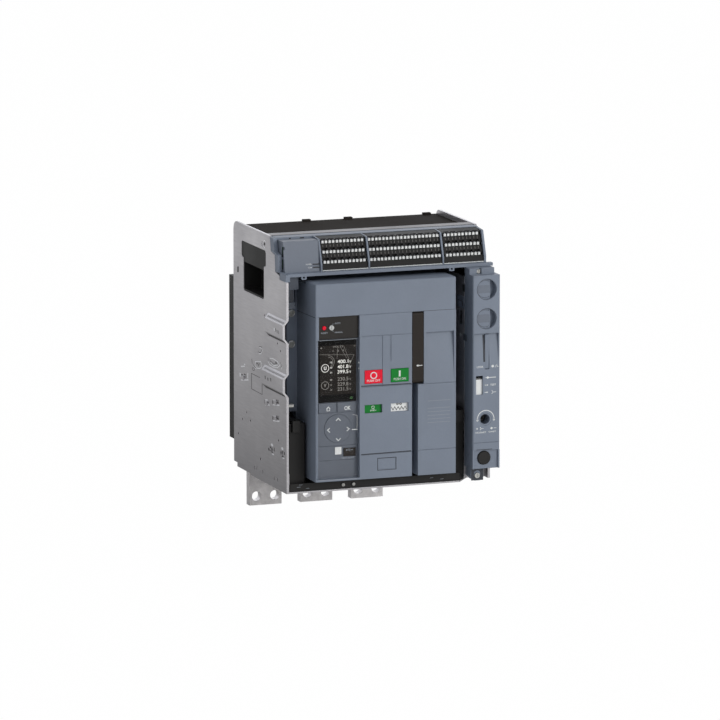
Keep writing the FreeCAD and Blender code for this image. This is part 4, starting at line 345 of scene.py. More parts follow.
def gloss(name, rgb):
    """Glossy coloured plastic of a button: even colour with a faint swirl, and a hint of orange peel."""
    rough = 0.22
    made = Finish(name)
    base = linear(rgb)
    swirl = made.noise(90.0, detail=3.0)
    rounded = made.edges(0.0004)[1]
    made.feed(Base_Color=made.mixed(made.span(swirl, 0.0, 1.0), scaled(base, 0.94), scaled(base, 1.05)),
              Roughness=made.span(swirl, rough - 0.04, rough + 0.06),
              Normal=made.bump(made.noise(700.0, detail=2.0), 0.00003, 0.4, rounded))
    made.set(Coat_Weight=0.1, Specular_IOR_Level=0.2)
    return made.material


def ink(name, rgb, rough=0.6):
    """Screen-printed ink: a little uneven in cover, matt."""
    made = Finish(name)
    base = linear(rgb)
    cover = made.noise(1100.0, rough=0.7)
    made.feed(Base_Color=made.mixed(made.span(cover, 0.0, 1.0, 0.35, 0.65), scaled(base, 0.86), base),
              Roughness=made.span(cover, rough - 0.1, rough + 0.1))
    return made.material


def lit(name, rgb, strength):
    """A lit part of the display: glow that is broken up finely by its pixels."""
    made = Finish(name)
    base = linear(rgb)
    pixels = made.noise(1800.0, detail=2.0)
    tone = made.mixed(made.span(pixels, 0.0, 1.0), scaled(base, 0.82), base)
    made.feed(Base_Color=tone, Emission_Color=tone)
    made.set(Emission_Strength=strength, Roughness=0.4)
    return made.material


def clear_sheet(name):
    """Clear polycarbonate: nearly all see-through from the front, more mirror-like at a slant."""
    slant_cover = 0.09
    made = Finish(name)
    slant = made.add("LayerWeight", Blend=0.25)
    haze = made.noise(45.0)
    cover = made.weighted(slant.outputs["Fresnel"], slant_cover, made.span(haze, 0.004, 0.012))
    tone = made.mixed(made.span(haze, 0.0, 1.0), (0.26, 0.27, 0.28, 1.0), (0.36, 0.37, 0.39, 1.0))
    made.feed(Base_Color=tone, Alpha=cover)
    made.set(Roughness=0.06)
    return made.material


FINISHES = {
    "blue_grey": moulded("blue_grey_moulding", (124, 133, 147)),
    "soft_grey": moulded("module_moulding", (112, 119, 131)),
    "glass": moulded("display_glass", (15, 14, 13), rough=0.3, grain=0.00001, spread=0.05, shine=0.04),
    "keypad": moulded("keypad_moulding", (101, 107, 117), rough=0.55),
    "black": moulded("black_moulding", (30, 29, 28), rough=0.52, spread=0.12, shine=0.25),
    "block": moulded("block_moulding", (15, 14, 13), rough=0.5, spread=0.12, shine=0.2),
    "lid": moulded("lid_moulding", (52, 48, 45), rough=0.7, spread=0.1, shine=0.02),
    "brown_black": moulded("handle_moulding", (45, 40, 36), rough=0.5, spread=0.1, shine=0.15),
    "panel": moulded("display_panel", (40, 37, 34), rough=0.35, grain=0.00002, spread=0.08, shine=0.25),
    "screen": moulded("display_screen", (40, 36, 33), rough=0.3, grain=0.00001, spread=0.05, shine=0.06),
    "steel": rolled_steel("plated_sheet", (184, 182, 185), foot=0.86),
    "bar_steel": rolled_steel("crossbar_sheet", (78, 75, 77), streak=(14.0, 1.0, 1.0), foot=1.1, metal=0.4),
    "tin": turned_metal("tinned_copper", (236, 233, 233), rough=0.45, metal=0.85),
    "zinc": turned_metal("zinc_screw", (178, 178, 174), rough=0.3, metal=0.6),
    "spring": turned_metal("spring_steel", (120, 118, 116), rough=0.33),
    "white": moulded("white_moulding", (240, 241, 239), rough=0.45, wear_and_highlight=1.0, spread=0.03),
    "pale": moulded("selector_moulding", (206, 207, 205), rough=0.4, spread=0.04),
    "red": gloss("red_button", (240, 18, 50)),
    "green": gloss("green_button", (0, 128, 42)),
    "clear": clear_sheet("clear_door"),
    # White ink for print, also used for painted highlights and glints
    "white_ink_and_highlight": ink("white_ink_and_highlight", (232, 234, 232)),
    "grey_ink": ink("grey_ink", (150, 156, 164)),
    # Dark ink for print, slots and seams, also used for painted shade in the gap at the right
    "dark_ink_and_shade": ink("dark_ink_and_shade", (36, 36, 38)),
    # Seam lines, also used for painted shade on the hanger and in the key recesses
    "seam_and_shade_ink": ink("seam_and_painted_shade", (74, 80, 90)),
    "shadow_ink": ink("shadow_ink", (46, 50, 58)),
    # Painted shade beside pressed forms in the sheet and on the bulges' lower flanks
    "painted_dent_shade": ink("pressed_painted_shade", (74, 72, 72)),
    # A painted grey reflection band on the bulges' upper flanks
    "painted_reflection_band": ink("painted_reflection_grey", (184, 182, 184)),
    # Painted highlights on pressed forms, the upper bulge and the flange screws' rims
    "painted_ridge_highlight": ink("pressed_painted_highlight", (246, 246, 248), rough=0.3),
    "board": ink("board_lacquer", (52, 92, 66)),
    "bright_digit": lit("bright_digit", (240, 238, 232), 0.35),
    # Dim digits' glow, also used for painted reflections on the display glass
    "dim_digit_and_glint": lit("dim_digit_and_glint", (138, 134, 128), 0.12),
    # A faint glow used as a painted highlight on the ribs between lever rows
    "painted_rib_glow": lit("painted_rib_glow", (88, 84, 79), 0.05),
    "green_light": lit("green_light", (58, 118, 52), 0.3),
}

NODES_OF = {
    "steel": ("left_side_plate", "right_side_plate", "base_plate", "racking_wall", "mechanism_plates",
              "racking_carriage", "side_runners"),
    "bar_steel": ("upper_crossbar",),
    "lid": ("top_cover",),
    "blue_grey": ("pole_case_front", "padlock_tab", "racking_housing", "terminal_carrier", "front_cover",
                  "right_cover"),
    "soft_grey": ("communication_module",),
    "black": ("left_extension_rail", "right_extension_rail", "lifting_pockets", "base_tray", "rail_guides",
              "rear_housing", "upper_shutter", "lower_shutter", "pole_case_rear", "arc_chutes",
              "current_sensors", "release_button"),
    "block": ("terminal_block_left", "terminal_block_middle", "terminal_block_right"),
    "brown_black": ("charging_handle", "usb_cover"),
    "keypad": ("trip_unit_body", "home_key", "ok_key", "nav_pad"),
    "panel": ("display_panels",),
    "pale": ("mode_selector",),
    "white": ("terminal_levers", "position_flag", "spring_indicator"),
    "tin": ("upper_terminals", "lower_terminals", "terminal_flags", "upper_contacts", "lower_contacts",
            "moving_contacts", "finger_clusters"),
    "zinc": ("chassis_screws", "breaker_screws"),
    "spring": ("racking_screw", "closing_spring", "cam_shaft", "pole_shaft"),
    "red": ("off_button", "reset_button"),
    "green": ("on_button", "contact_indicator"),
    "clear": ("trip_unit_cover",),
}


def dress(node, finish):
    slots = cad[node].material_slots
    for slot in slots:
        slot.material = FINISHES[finish]
    if not slots:
        cad[node].data.materials.append(FINISHES[finish])


# Thin work: printed marks, words, lit figures, and painted shade and highlights

LOOKS = {
    "front": (Vector((1, 0, 0)), Vector((0, 0, 1)), Vector((0, -1, 0))),
    "left": (Vector((0, -1, 0)), Vector((0, 0, 1)), Vector((-1, 0, 0))),
}

# The left side plate's outer face between its bulges
SHEET_X = -125.0


def rect(x0, x1, z0, z1):
    return [(x0, z0), (x1, z0), (x1, z1), (x0, z1)]


def arc(x, z, r, start=0.0, turn=360.0, steps=32):
    """Points along an arc, from a start angle through a turn, in degrees anticlockwise from the right."""
    full = abs(turn) >= 360.0
    last = steps if full else steps + 1
    found = []
    for i in range(last):
        a = math.radians(start + turn * i / steps)
        found.append((x + r * math.cos(a), z + r * math.sin(a)))
    return found


def ring(x, z, r, width):
    return [arc(x, z, r), arc(x, z, r - width)]


def stroke(points, width):
    """The outline of an open line of even width, with mitred corners."""
    left = []
    right = []
    for i, (x, z) in enumerate(points):
        before = Vector(points[i]) - Vector(points[i - 1]) if i else None
        after = Vector(points[i + 1]) - Vector(points[i]) if i + 1 < len(points) else None
        before = before or after
        after = after or before
        ahead = before.normalized() + after.normalized()
        side = Vector((-ahead.y, ahead.x)).normalized()
        across = Vector((-after.y, after.x)).normalized()
        reach = width / 2 / max(0.35, side.dot(across))
        left.append((x + side.x * reach, z + side.y * reach))
        right.append((x - side.x * reach, z - side.y * reach))
    return left + right[::-1]


def add_piece(name, mesh, body, finish):
    mesh.materials.clear()
    mesh.materials.append(FINISHES[finish])
    piece = bpy.data.objects.new(name, mesh)
    bpy.context.scene.collection.objects.link(piece)
    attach(piece, body)


class Print:
    """Marks of one finish on one flat face, gathered into a single thin piece."""

    def __init__(self, name, finish, body, level, look="front", proud=0.03):
        sunk = 0.01
        self.name = name
        self.finish = finish
        self.body = body
        self.thick = proud + sunk
        right, up, out = LOOKS[look] if isinstance(look, str) else look
        if not isinstance(level, Vector):
            level = Vector([abs(part) * level for part in out])
        plane = level + out * (proud - sunk) / 2
        turn = Matrix((right, up, out)).transposed().to_4x4()
        self.turn = Matrix.Scale(MM, 4) @ Matrix.Translation(plane) @ turn
        self.work = bmesh.new()

    def take(self, curve, fit=None):
        """Adds a curve's filled shape, stretched to a box if one is given."""
        curve.extrude = self.thick / 2
        holder = bpy.data.objects.new(self.name, curve)
        mesh = bpy.data.meshes.new_from_object(holder)
        if fit:
            for axis, (low, high) in enumerate((fit[:2], fit[2:])):
                values = [v.co[axis] for v in mesh.vertices]
                start, end = min(values), max(values)
                for v in mesh.vertices:
                    v.co[axis] = low + (v.co[axis] - start) / (end - start) * (high - low)
        mesh.transform(self.turn)
        self.work.from_mesh(mesh)
        bpy.data.objects.remove(holder)
        bpy.data.curves.remove(curve)
        bpy.data.meshes.remove(mesh)

    def shape(self, *loops):
        """One filled shape; a loop inside another is a hole."""
        curve = bpy.data.curves.new(self.name, "CURVE")
        curve.dimensions = "2D"
        curve.fill_mode = "BOTH"
        for loop in loops:
            spline = curve.splines.new("POLY")
            spline.points.add(len(loop) - 1)
            for point, (x, z) in zip(spline.points, loop):
                point.co = (x, z, 0.0, 1.0)
            spline.use_cyclic_u = True
        self.take(curve)
        return self

    def shapes(self, *outlines):
        """Filled shapes without holes."""
        for outline in outlines:
            self.shape(outline)
        return self

    def words(self, text, x0, x1, z0, z1, bold=0.2):
        """Lettering that fills a box exactly."""
        curve = bpy.data.curves.new(self.name, "FONT")
        curve.body = text
        curve.size = 10.0
        curve.offset = bold
        curve.resolution_u = 3
        self.take(curve, (x0, x1, z0, z1))
        return self

    def done(self):
        mesh = bpy.data.meshes.new(self.name)
        self.work.to_mesh(mesh)
        self.work.free()
        add_piece(self.name, mesh, self.body, self.finish)


def mark(name, finish, body, level, *outlines, look="front", proud=0.03):
    """A piece of plain shapes only."""
    Print(name, finish, body, level, look, proud).shapes(*outlines).done()


def leaning(y, z, rise):
    """A look on a face that leans back as it rises, and the point its marks are measured from."""
    tilt = math.hypot(1.0, rise)
    look = (Vector((1, 0, 0)), Vector((0, rise, 1)) / tilt, Vector((0, -1, rise)) / tilt)
    return look, Vector((0, y, z))


def front_of(node):
    """The front plane of a CAD node, in millimetres."""
    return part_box(node)[0].y / MM


def push_button_marks():
    """The circle and the line on the two push buttons, with their words."""
    level = front_of("off_button")
    off = Print("off_button_print", "white_ink_and_highlight", "off_button", level)
    off.shape(*ring(-15.8, 148.9, 4.6, 1.3)).words("PUSH OFF", -24.9, -7.2, 140.8, 143.8, 0.1).done()
    on = Print("on_button_print", "white_ink_and_highlight", "on_button", level)
    on.shape(rect(17.9, 20.3, 145.5, 153.1)).words("PUSH ON", 11.2, 27.4, 141.0, 144.0, 0.1).done()


def indicator_marks():
    """Both faces of each indicator flag: the one in its window at rest and the one that slides into it."""
    level = front_of("contact_indicator")
    travel = 13.0
    contact = Print("contact_indicator_print", "white_ink_and_highlight", "contact_indicator", level)
    contact.shape(*ring(-15.4, 107.4, 2.0, 0.6)).words("OPEN", -19.3, -11.2, 102.5, 104.5)
    contact.shape(rect(-15.9, -14.9, 105.6 + travel, 109.4 + travel)).done()
    spring = Print("spring_indicator_print", "dark_ink_and_shade", "spring_indicator", level)
    for x in (17.5, 21.7):
        spring.shape([(x - 2.3, 109.7), (x, 108.1), (x + 2.3, 109.7), (x, 111.3)],
                     [(x - 0.9, 109.7), (x, 109.1), (x + 0.9, 109.7), (x, 110.3)])
    teeth = [(9.3 + 2.3 * i, 102.4 if i % 2 else 106.2) for i in range(10)]
    spring.shape(stroke(teeth, 0.8)).done()


def lit_group(name, finish, letter, centre, rows, tags, level):
    """A group of measured values: its ringed letter, then three figures with their unit and row tag."""
    x, z = centre
    group = Print(name, finish, "breaker", level)
    group.shape(*ring(x, z, 5.3, 0.7)).words(letter, x - 1.7, x + 1.7, z - 2.2, z + 2.2, 0.3)
    tag_column, figure_column, unit_column = (-72.0, -69.3), (-62.1, -47.5), (-46.3, -43.9)
    for (figure, base), tag in zip(rows, tags):
        group.words(figure, *figure_column, base, base + 4.6, 0.1)
        group.words("V", *unit_column, base, base + 3.0, 0.1)
        group.words(tag, *tag_column, base + 0.8, base + 2.8, 0.15)
    group.done()


def display_marks():
    """The display's glass with its lit area, painted reflections, measured values and status lamp, in thin
    layers.
    """
    glass_depth, key_lead, layer = 1.5, 0.3, 0.03
    glass = min(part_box("display_panels")[1].y / MM - glass_depth, front_of("ok_key") - key_lead)
    screen = glass - layer
    on_top = screen - layer
    mark("display_glass", "glass", "breaker", glass, rect(-88.2, -37.4, 117.2, 196.7))
    mark("display_area", "screen", "breaker", screen, rect(-85.4, -37.6, 126.2, 189.3))
    # Painted reflections on the display glass
    glints = Print("display_glints", "dim_digit_and_glint", "breaker", on_top)
    for points in ([(-86.0, 178.5), (-39.5, 175.9)], [(-61.5, 187.5), (-62.9, 171.5)],
                   [(-58.5, 187.5), (-49.5, 172.0)], [(-54.0, 188.5), (-46.5, 170.0)],
                   [(-40.0, 175.9), (-48.5, 158.5)]):
        glints.shape(stroke(points, 0.35))
    for r in (8.2, 6.2):
        glints.shape(stroke(arc(-74.5, 168.5, r, -60.0, 150.0, 16), 0.5))
    glints.done()
    lit_group("display_bright", "bright_digit", "U", (-78.6, 160.8),
              (("400.1", 166.0), ("401.8", 159.4), ("399.5", 152.9)), ("12", "23", "31"), on_top)
    lit_group("display_dim", "dim_digit_and_glint", "V", (-78.7, 138.8),
              (("230.5", 143.7), ("229.8", 137.2), ("231.5", 130.9)), ("1", "2", "3"), on_top)
    title = Print("display_title", "dim_digit_and_glint", "breaker", on_top)
    title.words("VOLTS", -68.6, -54.6, 186.4, 188.6, 0.1).words("1  2  3", -68.4, -53.4, 181.3, 183.4, 0.1)
    title.shape(rect(-84.9, -82.9, 186.0, 187.4)).shape(*ring(-39.1, 187.4, 1.0, 0.4)).done()
    lamp = Print("status_lamp", "green_light", "breaker", screen, proud=0.2)
    lamp.shape(*ring(-43.6, 121.2, 1.5, 0.6)).done()


def panel_marks():
    """Words beside the reset button and the mode selector, and the light edge below the panel."""
    words = Print("panel_words", "grey_ink", "breaker", front_of("display_panels"))
    words.words("RESET", -84.4, -75.5, 205.0, 207.0).words("MANUAL", -66.2, -55.5, 205.0, 207.0)
    words.words("AUTO", -66.2, -58.6, 216.6, 218.6)
    for near, far in ((215.8, 217.4), (209.0, 207.4)):
        words.shape(stroke([(-70.0, near), (-68.0, far)], 0.4))
    words.done()
    mark("panel_edge", "grey_ink", "breaker", front_of("front_cover"), rect(-88.2, -37.6, 196.9, 197.5))


def key_marks():
    """The signs on the trip unit's keys."""
    level = front_of("home_key")
    home = Print("home_key_print", "white_ink_and_highlight", "home_key", level)
    home.shape([(-77.2, 108.6), (-74.2, 111.9), (-71.2, 108.6), (-71.9, 108.6), (-71.9, 105.7),
                (-76.5, 105.7), (-76.5, 108.6)],
               [(-75.6, 108.4), (-75.6, 106.5), (-72.8, 106.5), (-72.8, 108.4), (-74.2, 110.4)]).done()
    Print("ok_key_print", "white_ink_and_highlight", "ok_key", level).words("OK", -52.9, -44.2, 105.7, 110.9, 0.4).done()
    arrows = ([(-63.8, 92.5), (-60.8, 95.7), (-57.7, 92.4)], [(-72.0, 83.7), (-75.2, 81.4), (-71.9, 78.3)],
              [(-49.3, 83.7), (-46.1, 81.2), (-49.4, 78.6)], [(-63.7, 70.1), (-60.6, 66.9), (-57.6, 70.0)])
    mark("nav_pad_print", "white_ink_and_highlight", "nav_pad", front_of("nav_pad"),
         *[stroke(points, 1.1) for points in arrows])


def handle_mark():
    """The arrow on the charging handle."""
    mark("handle_print", "white_ink_and_highlight", "charging_handle", front_of("charging_handle"),
         rect(44.4, 49.9, 157.3, 158.2), [(41.7, 157.7), (44.6, 156.0), (44.6, 159.4)])


def housing_marks():
    """The racking gear's printed guide: crank arc with its ends, position lines and switch symbols."""
    level = front_of("racking_housing")
    white = Print("racking_print", "white_ink_and_highlight", "chassis", level)
    bow = arc(135.9, 83.1, 11.3, -6.0, 192.0, 40)
    white.shape(stroke(bow, 1.0))
    for x, z in (bow[0], bow[-1]):
        white.shape([(x - 1.7, z + 0.3), (x, z - 1.8), (x + 1.7, z + 0.3), (x, z + 1.6)])
    # Row lines at the window: connected, test and isolated
    white.shapes([(134.5, 136.5), (136.4, 136.5), (138.4, 134.9), (140.4, 136.1), (149.7, 136.1),
                  (149.7, 137.1), (140.4, 137.1), (138.4, 138.3), (136.4, 136.9), (134.5, 136.9)],
                 rect(134.5, 136.2, 126.6, 127.4), rect(137.0, 138.8, 126.3, 127.7))
    white.words("TEST", 141.9, 149.8, 125.8, 128.2)
    white.shapes(rect(134.4, 136.2, 117.2, 118.0), rect(136.6, 138.7, 116.9, 118.3),
                 stroke([(143.9, 119.9), (146.2, 117.6), (143.9, 115.3)], 0.7),
                 rect(147.0, 149.8, 117.2, 117.9))
    # Symbols and words under the crank
    white.shapes([(122.9, 71.3), (124.2, 70.0), (125.5, 71.3), (124.2, 72.6)],
                 stroke([(128.2, 73.2), (130.0, 71.3), (128.2, 69.4)], 0.7), rect(130.8, 133.0, 71.0, 71.6),
                 [(141.8, 71.1), (143.9, 69.4), (146.0, 71.1), (143.9, 72.8)], rect(146.6, 150.5, 70.8, 71.4))
    white.words("DISCONNECT", 122.1, 136.6, 65.3, 67.2).words("CONNECT", 139.8, 150.2, 65.6, 67.5)
    # Marks on either side of the padlock tab
    white.words("LOCK", 123.7, 132.6, 149.6, 152.0)
    white.shapes(arc(145.2, 150.9, 1.7), stroke([(148.4, 149.2), (150.0, 152.6)], 0.5),
                 stroke([(151.0, 152.4), (151.0, 150.2), (153.0, 150.2)], 0.6)).done()
    Print("crank_ring", "seam_and_shade_ink", "chassis", level).shape(*ring(135.7, 83.0, 8.2, 0.4)).done()
    mark("position_flag_band", "dark_ink_and_shade", "position_flag", front_of("position_flag"),
         rect(121.6, 133.0, 134.2, 135.8))


def low_panel_marks():
    """Thin rules on the lower part of the right cover."""
    rows = [83.4 + i * 4.6 for i in range(5)]
    mark("low_panel_rules", "grey_ink", "breaker", front_of("right_cover"), rect(57.1, 88.0, 111.2, 111.7),
         *[rect(57.1, 88.0, z, z + 0.5) for z in rows])


def trip_foot_marks():
    """The plug's white tile, the socket sign on its flap and the words below it."""
    level = front_of("trip_unit_body")
    mark("plug_tile", "white", "breaker", level, rect(-65.2, -56.7, 49.4, 58.8), proud=1.0)
    mark("usb_cover_print", "grey_ink", "usb_cover", front_of("usb_cover"),
         stroke([(-49.5, 54.4), (-42.6, 54.4)], 0.5), arc(-49.6, 54.4, 0.9, steps=16),
         [(-42.8, 55.3), (-41.0, 54.4), (-42.8, 53.5)],
         stroke([(-47.6, 54.7), (-46.4, 56.2), (-44.9, 56.2)], 0.4),
         stroke([(-46.6, 54.1), (-45.4, 52.8), (-44.2, 52.8)], 0.4))
    Print("foot_marks", "grey_ink", "breaker", level).words("TEST PORT", -56.4, -38.9, 43.1, 45.3).done()


def door_glints():
    """Painted glints on the clear door's latch and edge, behind its front face."""
    inset = 1.0
    mark("door_glints", "white_ink_and_highlight", "trip_unit_cover", front_of("trip_unit_cover") + inset,
         rect(-44.9, -37.4, 80.8, 81.7), stroke([(-43.9, 100.6), (-37.9, 99.1), (-37.9, 83.1)], 0.35),
         rect(-36.0, -34.9, 158.5, 159.7), rect(-36.0, -34.9, 165.6, 167.1))


def cover_marks():
    """Seams, the small window's outline and the light edge under the trip unit."""
    level = front_of("front_cover")
    mark("cover_seams", "seam_and_shade_ink", "breaker", level, rect(37.0, 95.2, 226.9, 227.5))
    deep = Print("cover_gaps", "shadow_ink", "breaker", level)
    deep.shapes([(-32.4, 135.2), (35.1, 134.7), (35.1, 136.0), (-32.4, 136.6)],
                [(-32.4, 47.6), (35.1, 48.2), (35.1, 49.6), (-32.4, 48.9)])
    deep.shape(rect(-10.6, 15.0, 26.4, 42.6), rect(-9.8, 14.2, 27.2, 41.8)).done()
    mark("cover_side_seam", "dark_ink_and_shade", "breaker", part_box("front_cover")[0].x / MM,
         [(51.5, 225.0), (120.5, 226.2), (120.5, 226.9), (51.5, 225.7)], look="left")
    mark("trip_lip", "grey_ink", "breaker", level,
         [(-88.6, 18.2), (-37.8, 17.5), (-37.8, 18.4), (-88.6, 19.1)])


def module_marks():
    """The plug-in module's words, dark lamp slots, upper notches and the socket strip at its left."""
    face_y, face_z, rise = -76.14, 287.6, 0.2041
    carrier_y, strip_y, layer = -50.0, -67.0, 0.06
    look, start = leaning(face_y, face_z, rise)
    words = Print("module_words", "white_ink_and_highlight", "chassis", start, look)
    words.words("POWER", -90.0, -82.6, -0.9, 0.9, 0.05).words("COM", -87.4, -82.6, -5.2, -3.5, 0.05).done()
    mark("module_slots", "dark_ink_and_shade", "chassis", start, rect(-80.8, -71.8, -0.7, 0.5),
         rect(-80.8, -71.8, -5.1, -3.9), look=look)
    mark("carrier_notches", "dark_ink_and_shade", "chassis", carrier_y, rect(-103.4, -100.7, 316.9, 318.4),
         rect(-88.6, -83.0, 316.9, 318.4))
    mark("module_socket", "dark_ink_and_shade", "chassis", strip_y, rect(-118.5, -116.9, 281.0, 314.0))
    mark("module_board", "board", "chassis", strip_y - layer, rect(-118.1, -117.4, 301.0, 311.5),
         rect(-118.1, -117.4, 283.5, 294.5))


def carrier_marks():
    """A painted highlight where the blocks meet the shelf, and painted shade on the three faces of the hanger
    at the left.
    """
    mark("shelf_highlight", "white_ink_and_highlight", "chassis", front_of("terminal_block_left"),
         *[rect(x0, x1, 278.6, 279.6) for x0, x1 in ((-69.0, -7.6), (-5.0, 92.4), (95.0, 148.6))])
    # Painted shade on the hanger's faces
    for name, finish, front, outline in (
            ("hanger_face_shade", "seam_and_shade_ink", -90.0, rect(-116.8, -105.2, 259.2, 275.3)),
            ("hanger_stem_shade", "shadow_ink", -87.0, rect(-116.0, -110.4, 242.0, 258.9)),
            ("hanger_foot_shade", "seam_and_shade_ink", -89.0, rect(-117.8, -109.7, 234.7, 241.9))):
        mark(name, finish, "chassis", front, outline)


def lever_marks():
    """A tick above each push lever, and a rib between the rows drawn in a faint glow as a painted highlight,
    on the slant of the terminal blocks.
    """
    levers = cad["terminal_levers"].data.vertices
    xs = sorted({round(v.co.x / MM, 1) for v in levers})
    zs = sorted({round(v.co.z / MM, 1) for v in levers})
    columns = [(low + high) / 2 for low, high in zip(xs[::2], xs[1::2])]
    rows = [(low + high) / 2 for low, high in zip(zs[::2], zs[1::2])]
    fronts = [min(v.co.y for v in levers if abs(v.co.z / MM - z) < 3.0) / MM for z in rows]
    lever_h, rise = 0.55, (fronts[1] - fronts[0]) / (rows[1] - rows[0])
    look, start = leaning(fronts[0] + lever_h, rows[0], rise)
    ticks = Print("lever_ticks", "grey_ink", "chassis", start, look)
    # The ribs glow faintly: a painted highlight
    ribs = Print("lever_rib_highlights", "painted_rib_glow", "chassis", start, look)
    for row in rows:
        up = (row - rows[0]) * math.hypot(1.0, rise)
        for x in columns:
            ticks.shape(rect(x - 0.45, x + 0.45, up + 2.0, up + 2.7))
            if row < rows[-1]:
                ribs.shape(rect(x - 0.3, x + 0.3, up + 6.4, up + 9.4))
    ticks.done()
    ribs.done()


def pressed(shade, shine, points, width=0.9, drop=1.2):
    """A mark pressed into the sheet, drawn as a line of painted shade with a painted highlight beside it."""
    shade.shape(stroke(points, width))
    shine.shape(stroke([(x + drop, z - drop) for x, z in points], 1.5 * width))


def repeated(outline, spots):
    """The same small outline at each of some spots."""
    return [[(x + across, z + up) for across, up in outline] for x, z in spots]


def oval(x, z, across, up):
    """A spot that is drawn wide, since the side is seen at a slant."""
    return [(x + (px - x) * across, z + (pz - z) * up) for px, pz in arc(x, z, 1.0, steps=14)]


def bar(x0, x1, z0, z1):
    """A bar that rises a little towards the front."""
    slope = 0.14
    up = slope * (x1 - x0)
    return [(x0, z0), (x1, z0 + up), (x1, z1 + up), (x0, z1)]


def plate_clip(shade, shine, x, z, barred):
    """The end of a clip in its slot, drawn as painted shade on its left edge, painted highlight bars and, on
    the wider kind, a dark grid.
    """
    shade.shape(rect(x - 0.5, x + 2.8, z - 1.9, z + 2.6))
    if barred:
        shine.shapes(bar(x + 3.0, x + 11.0, z + 2.3, z + 4.0), bar(x + 4.0, x + 11.5, z - 0.4, z + 1.2),
                     bar(x + 2.0, x + 26.0, z - 3.8, z - 2.1))
        shade.shapes(rect(x + 14.4, x + 17.2, z + 0.4, z + 6.0), rect(x + 19.4, x + 22.2, z + 1.0, z + 6.4))
        for x0, x1 in ((12.0, 14.3), (17.3, 19.3), (22.3, 24.5)):
            shade.shape(rect(x + x0, x + x1, z + 2.2, z + 3.6))
    else:
        shine.shapes(bar(x + 3.2, x + 12.5, z + 2.6, z + 4.4), bar(x + 2.9, x + 20.0, z - 3.6, z - 1.8))
        shade.shape(bar(x + 5.0, x + 16.0, z + 0.1, z + 1.5))


def plate_bolt(shade, shine, x, z, spots):
    """A riveted bolt end below its head, drawn as a painted highlight on the head and a ring of painted shade
    spots with a painted highlight under it.
    """
    shine.shapes(oval(x, z, 4.2, 1.9), oval(x + 3.4, z - 11.4, 4.4, 1.0))
    for across, down, wide, tall in spots:
        shade.shape(oval(x + across, z - down, wide, tall))


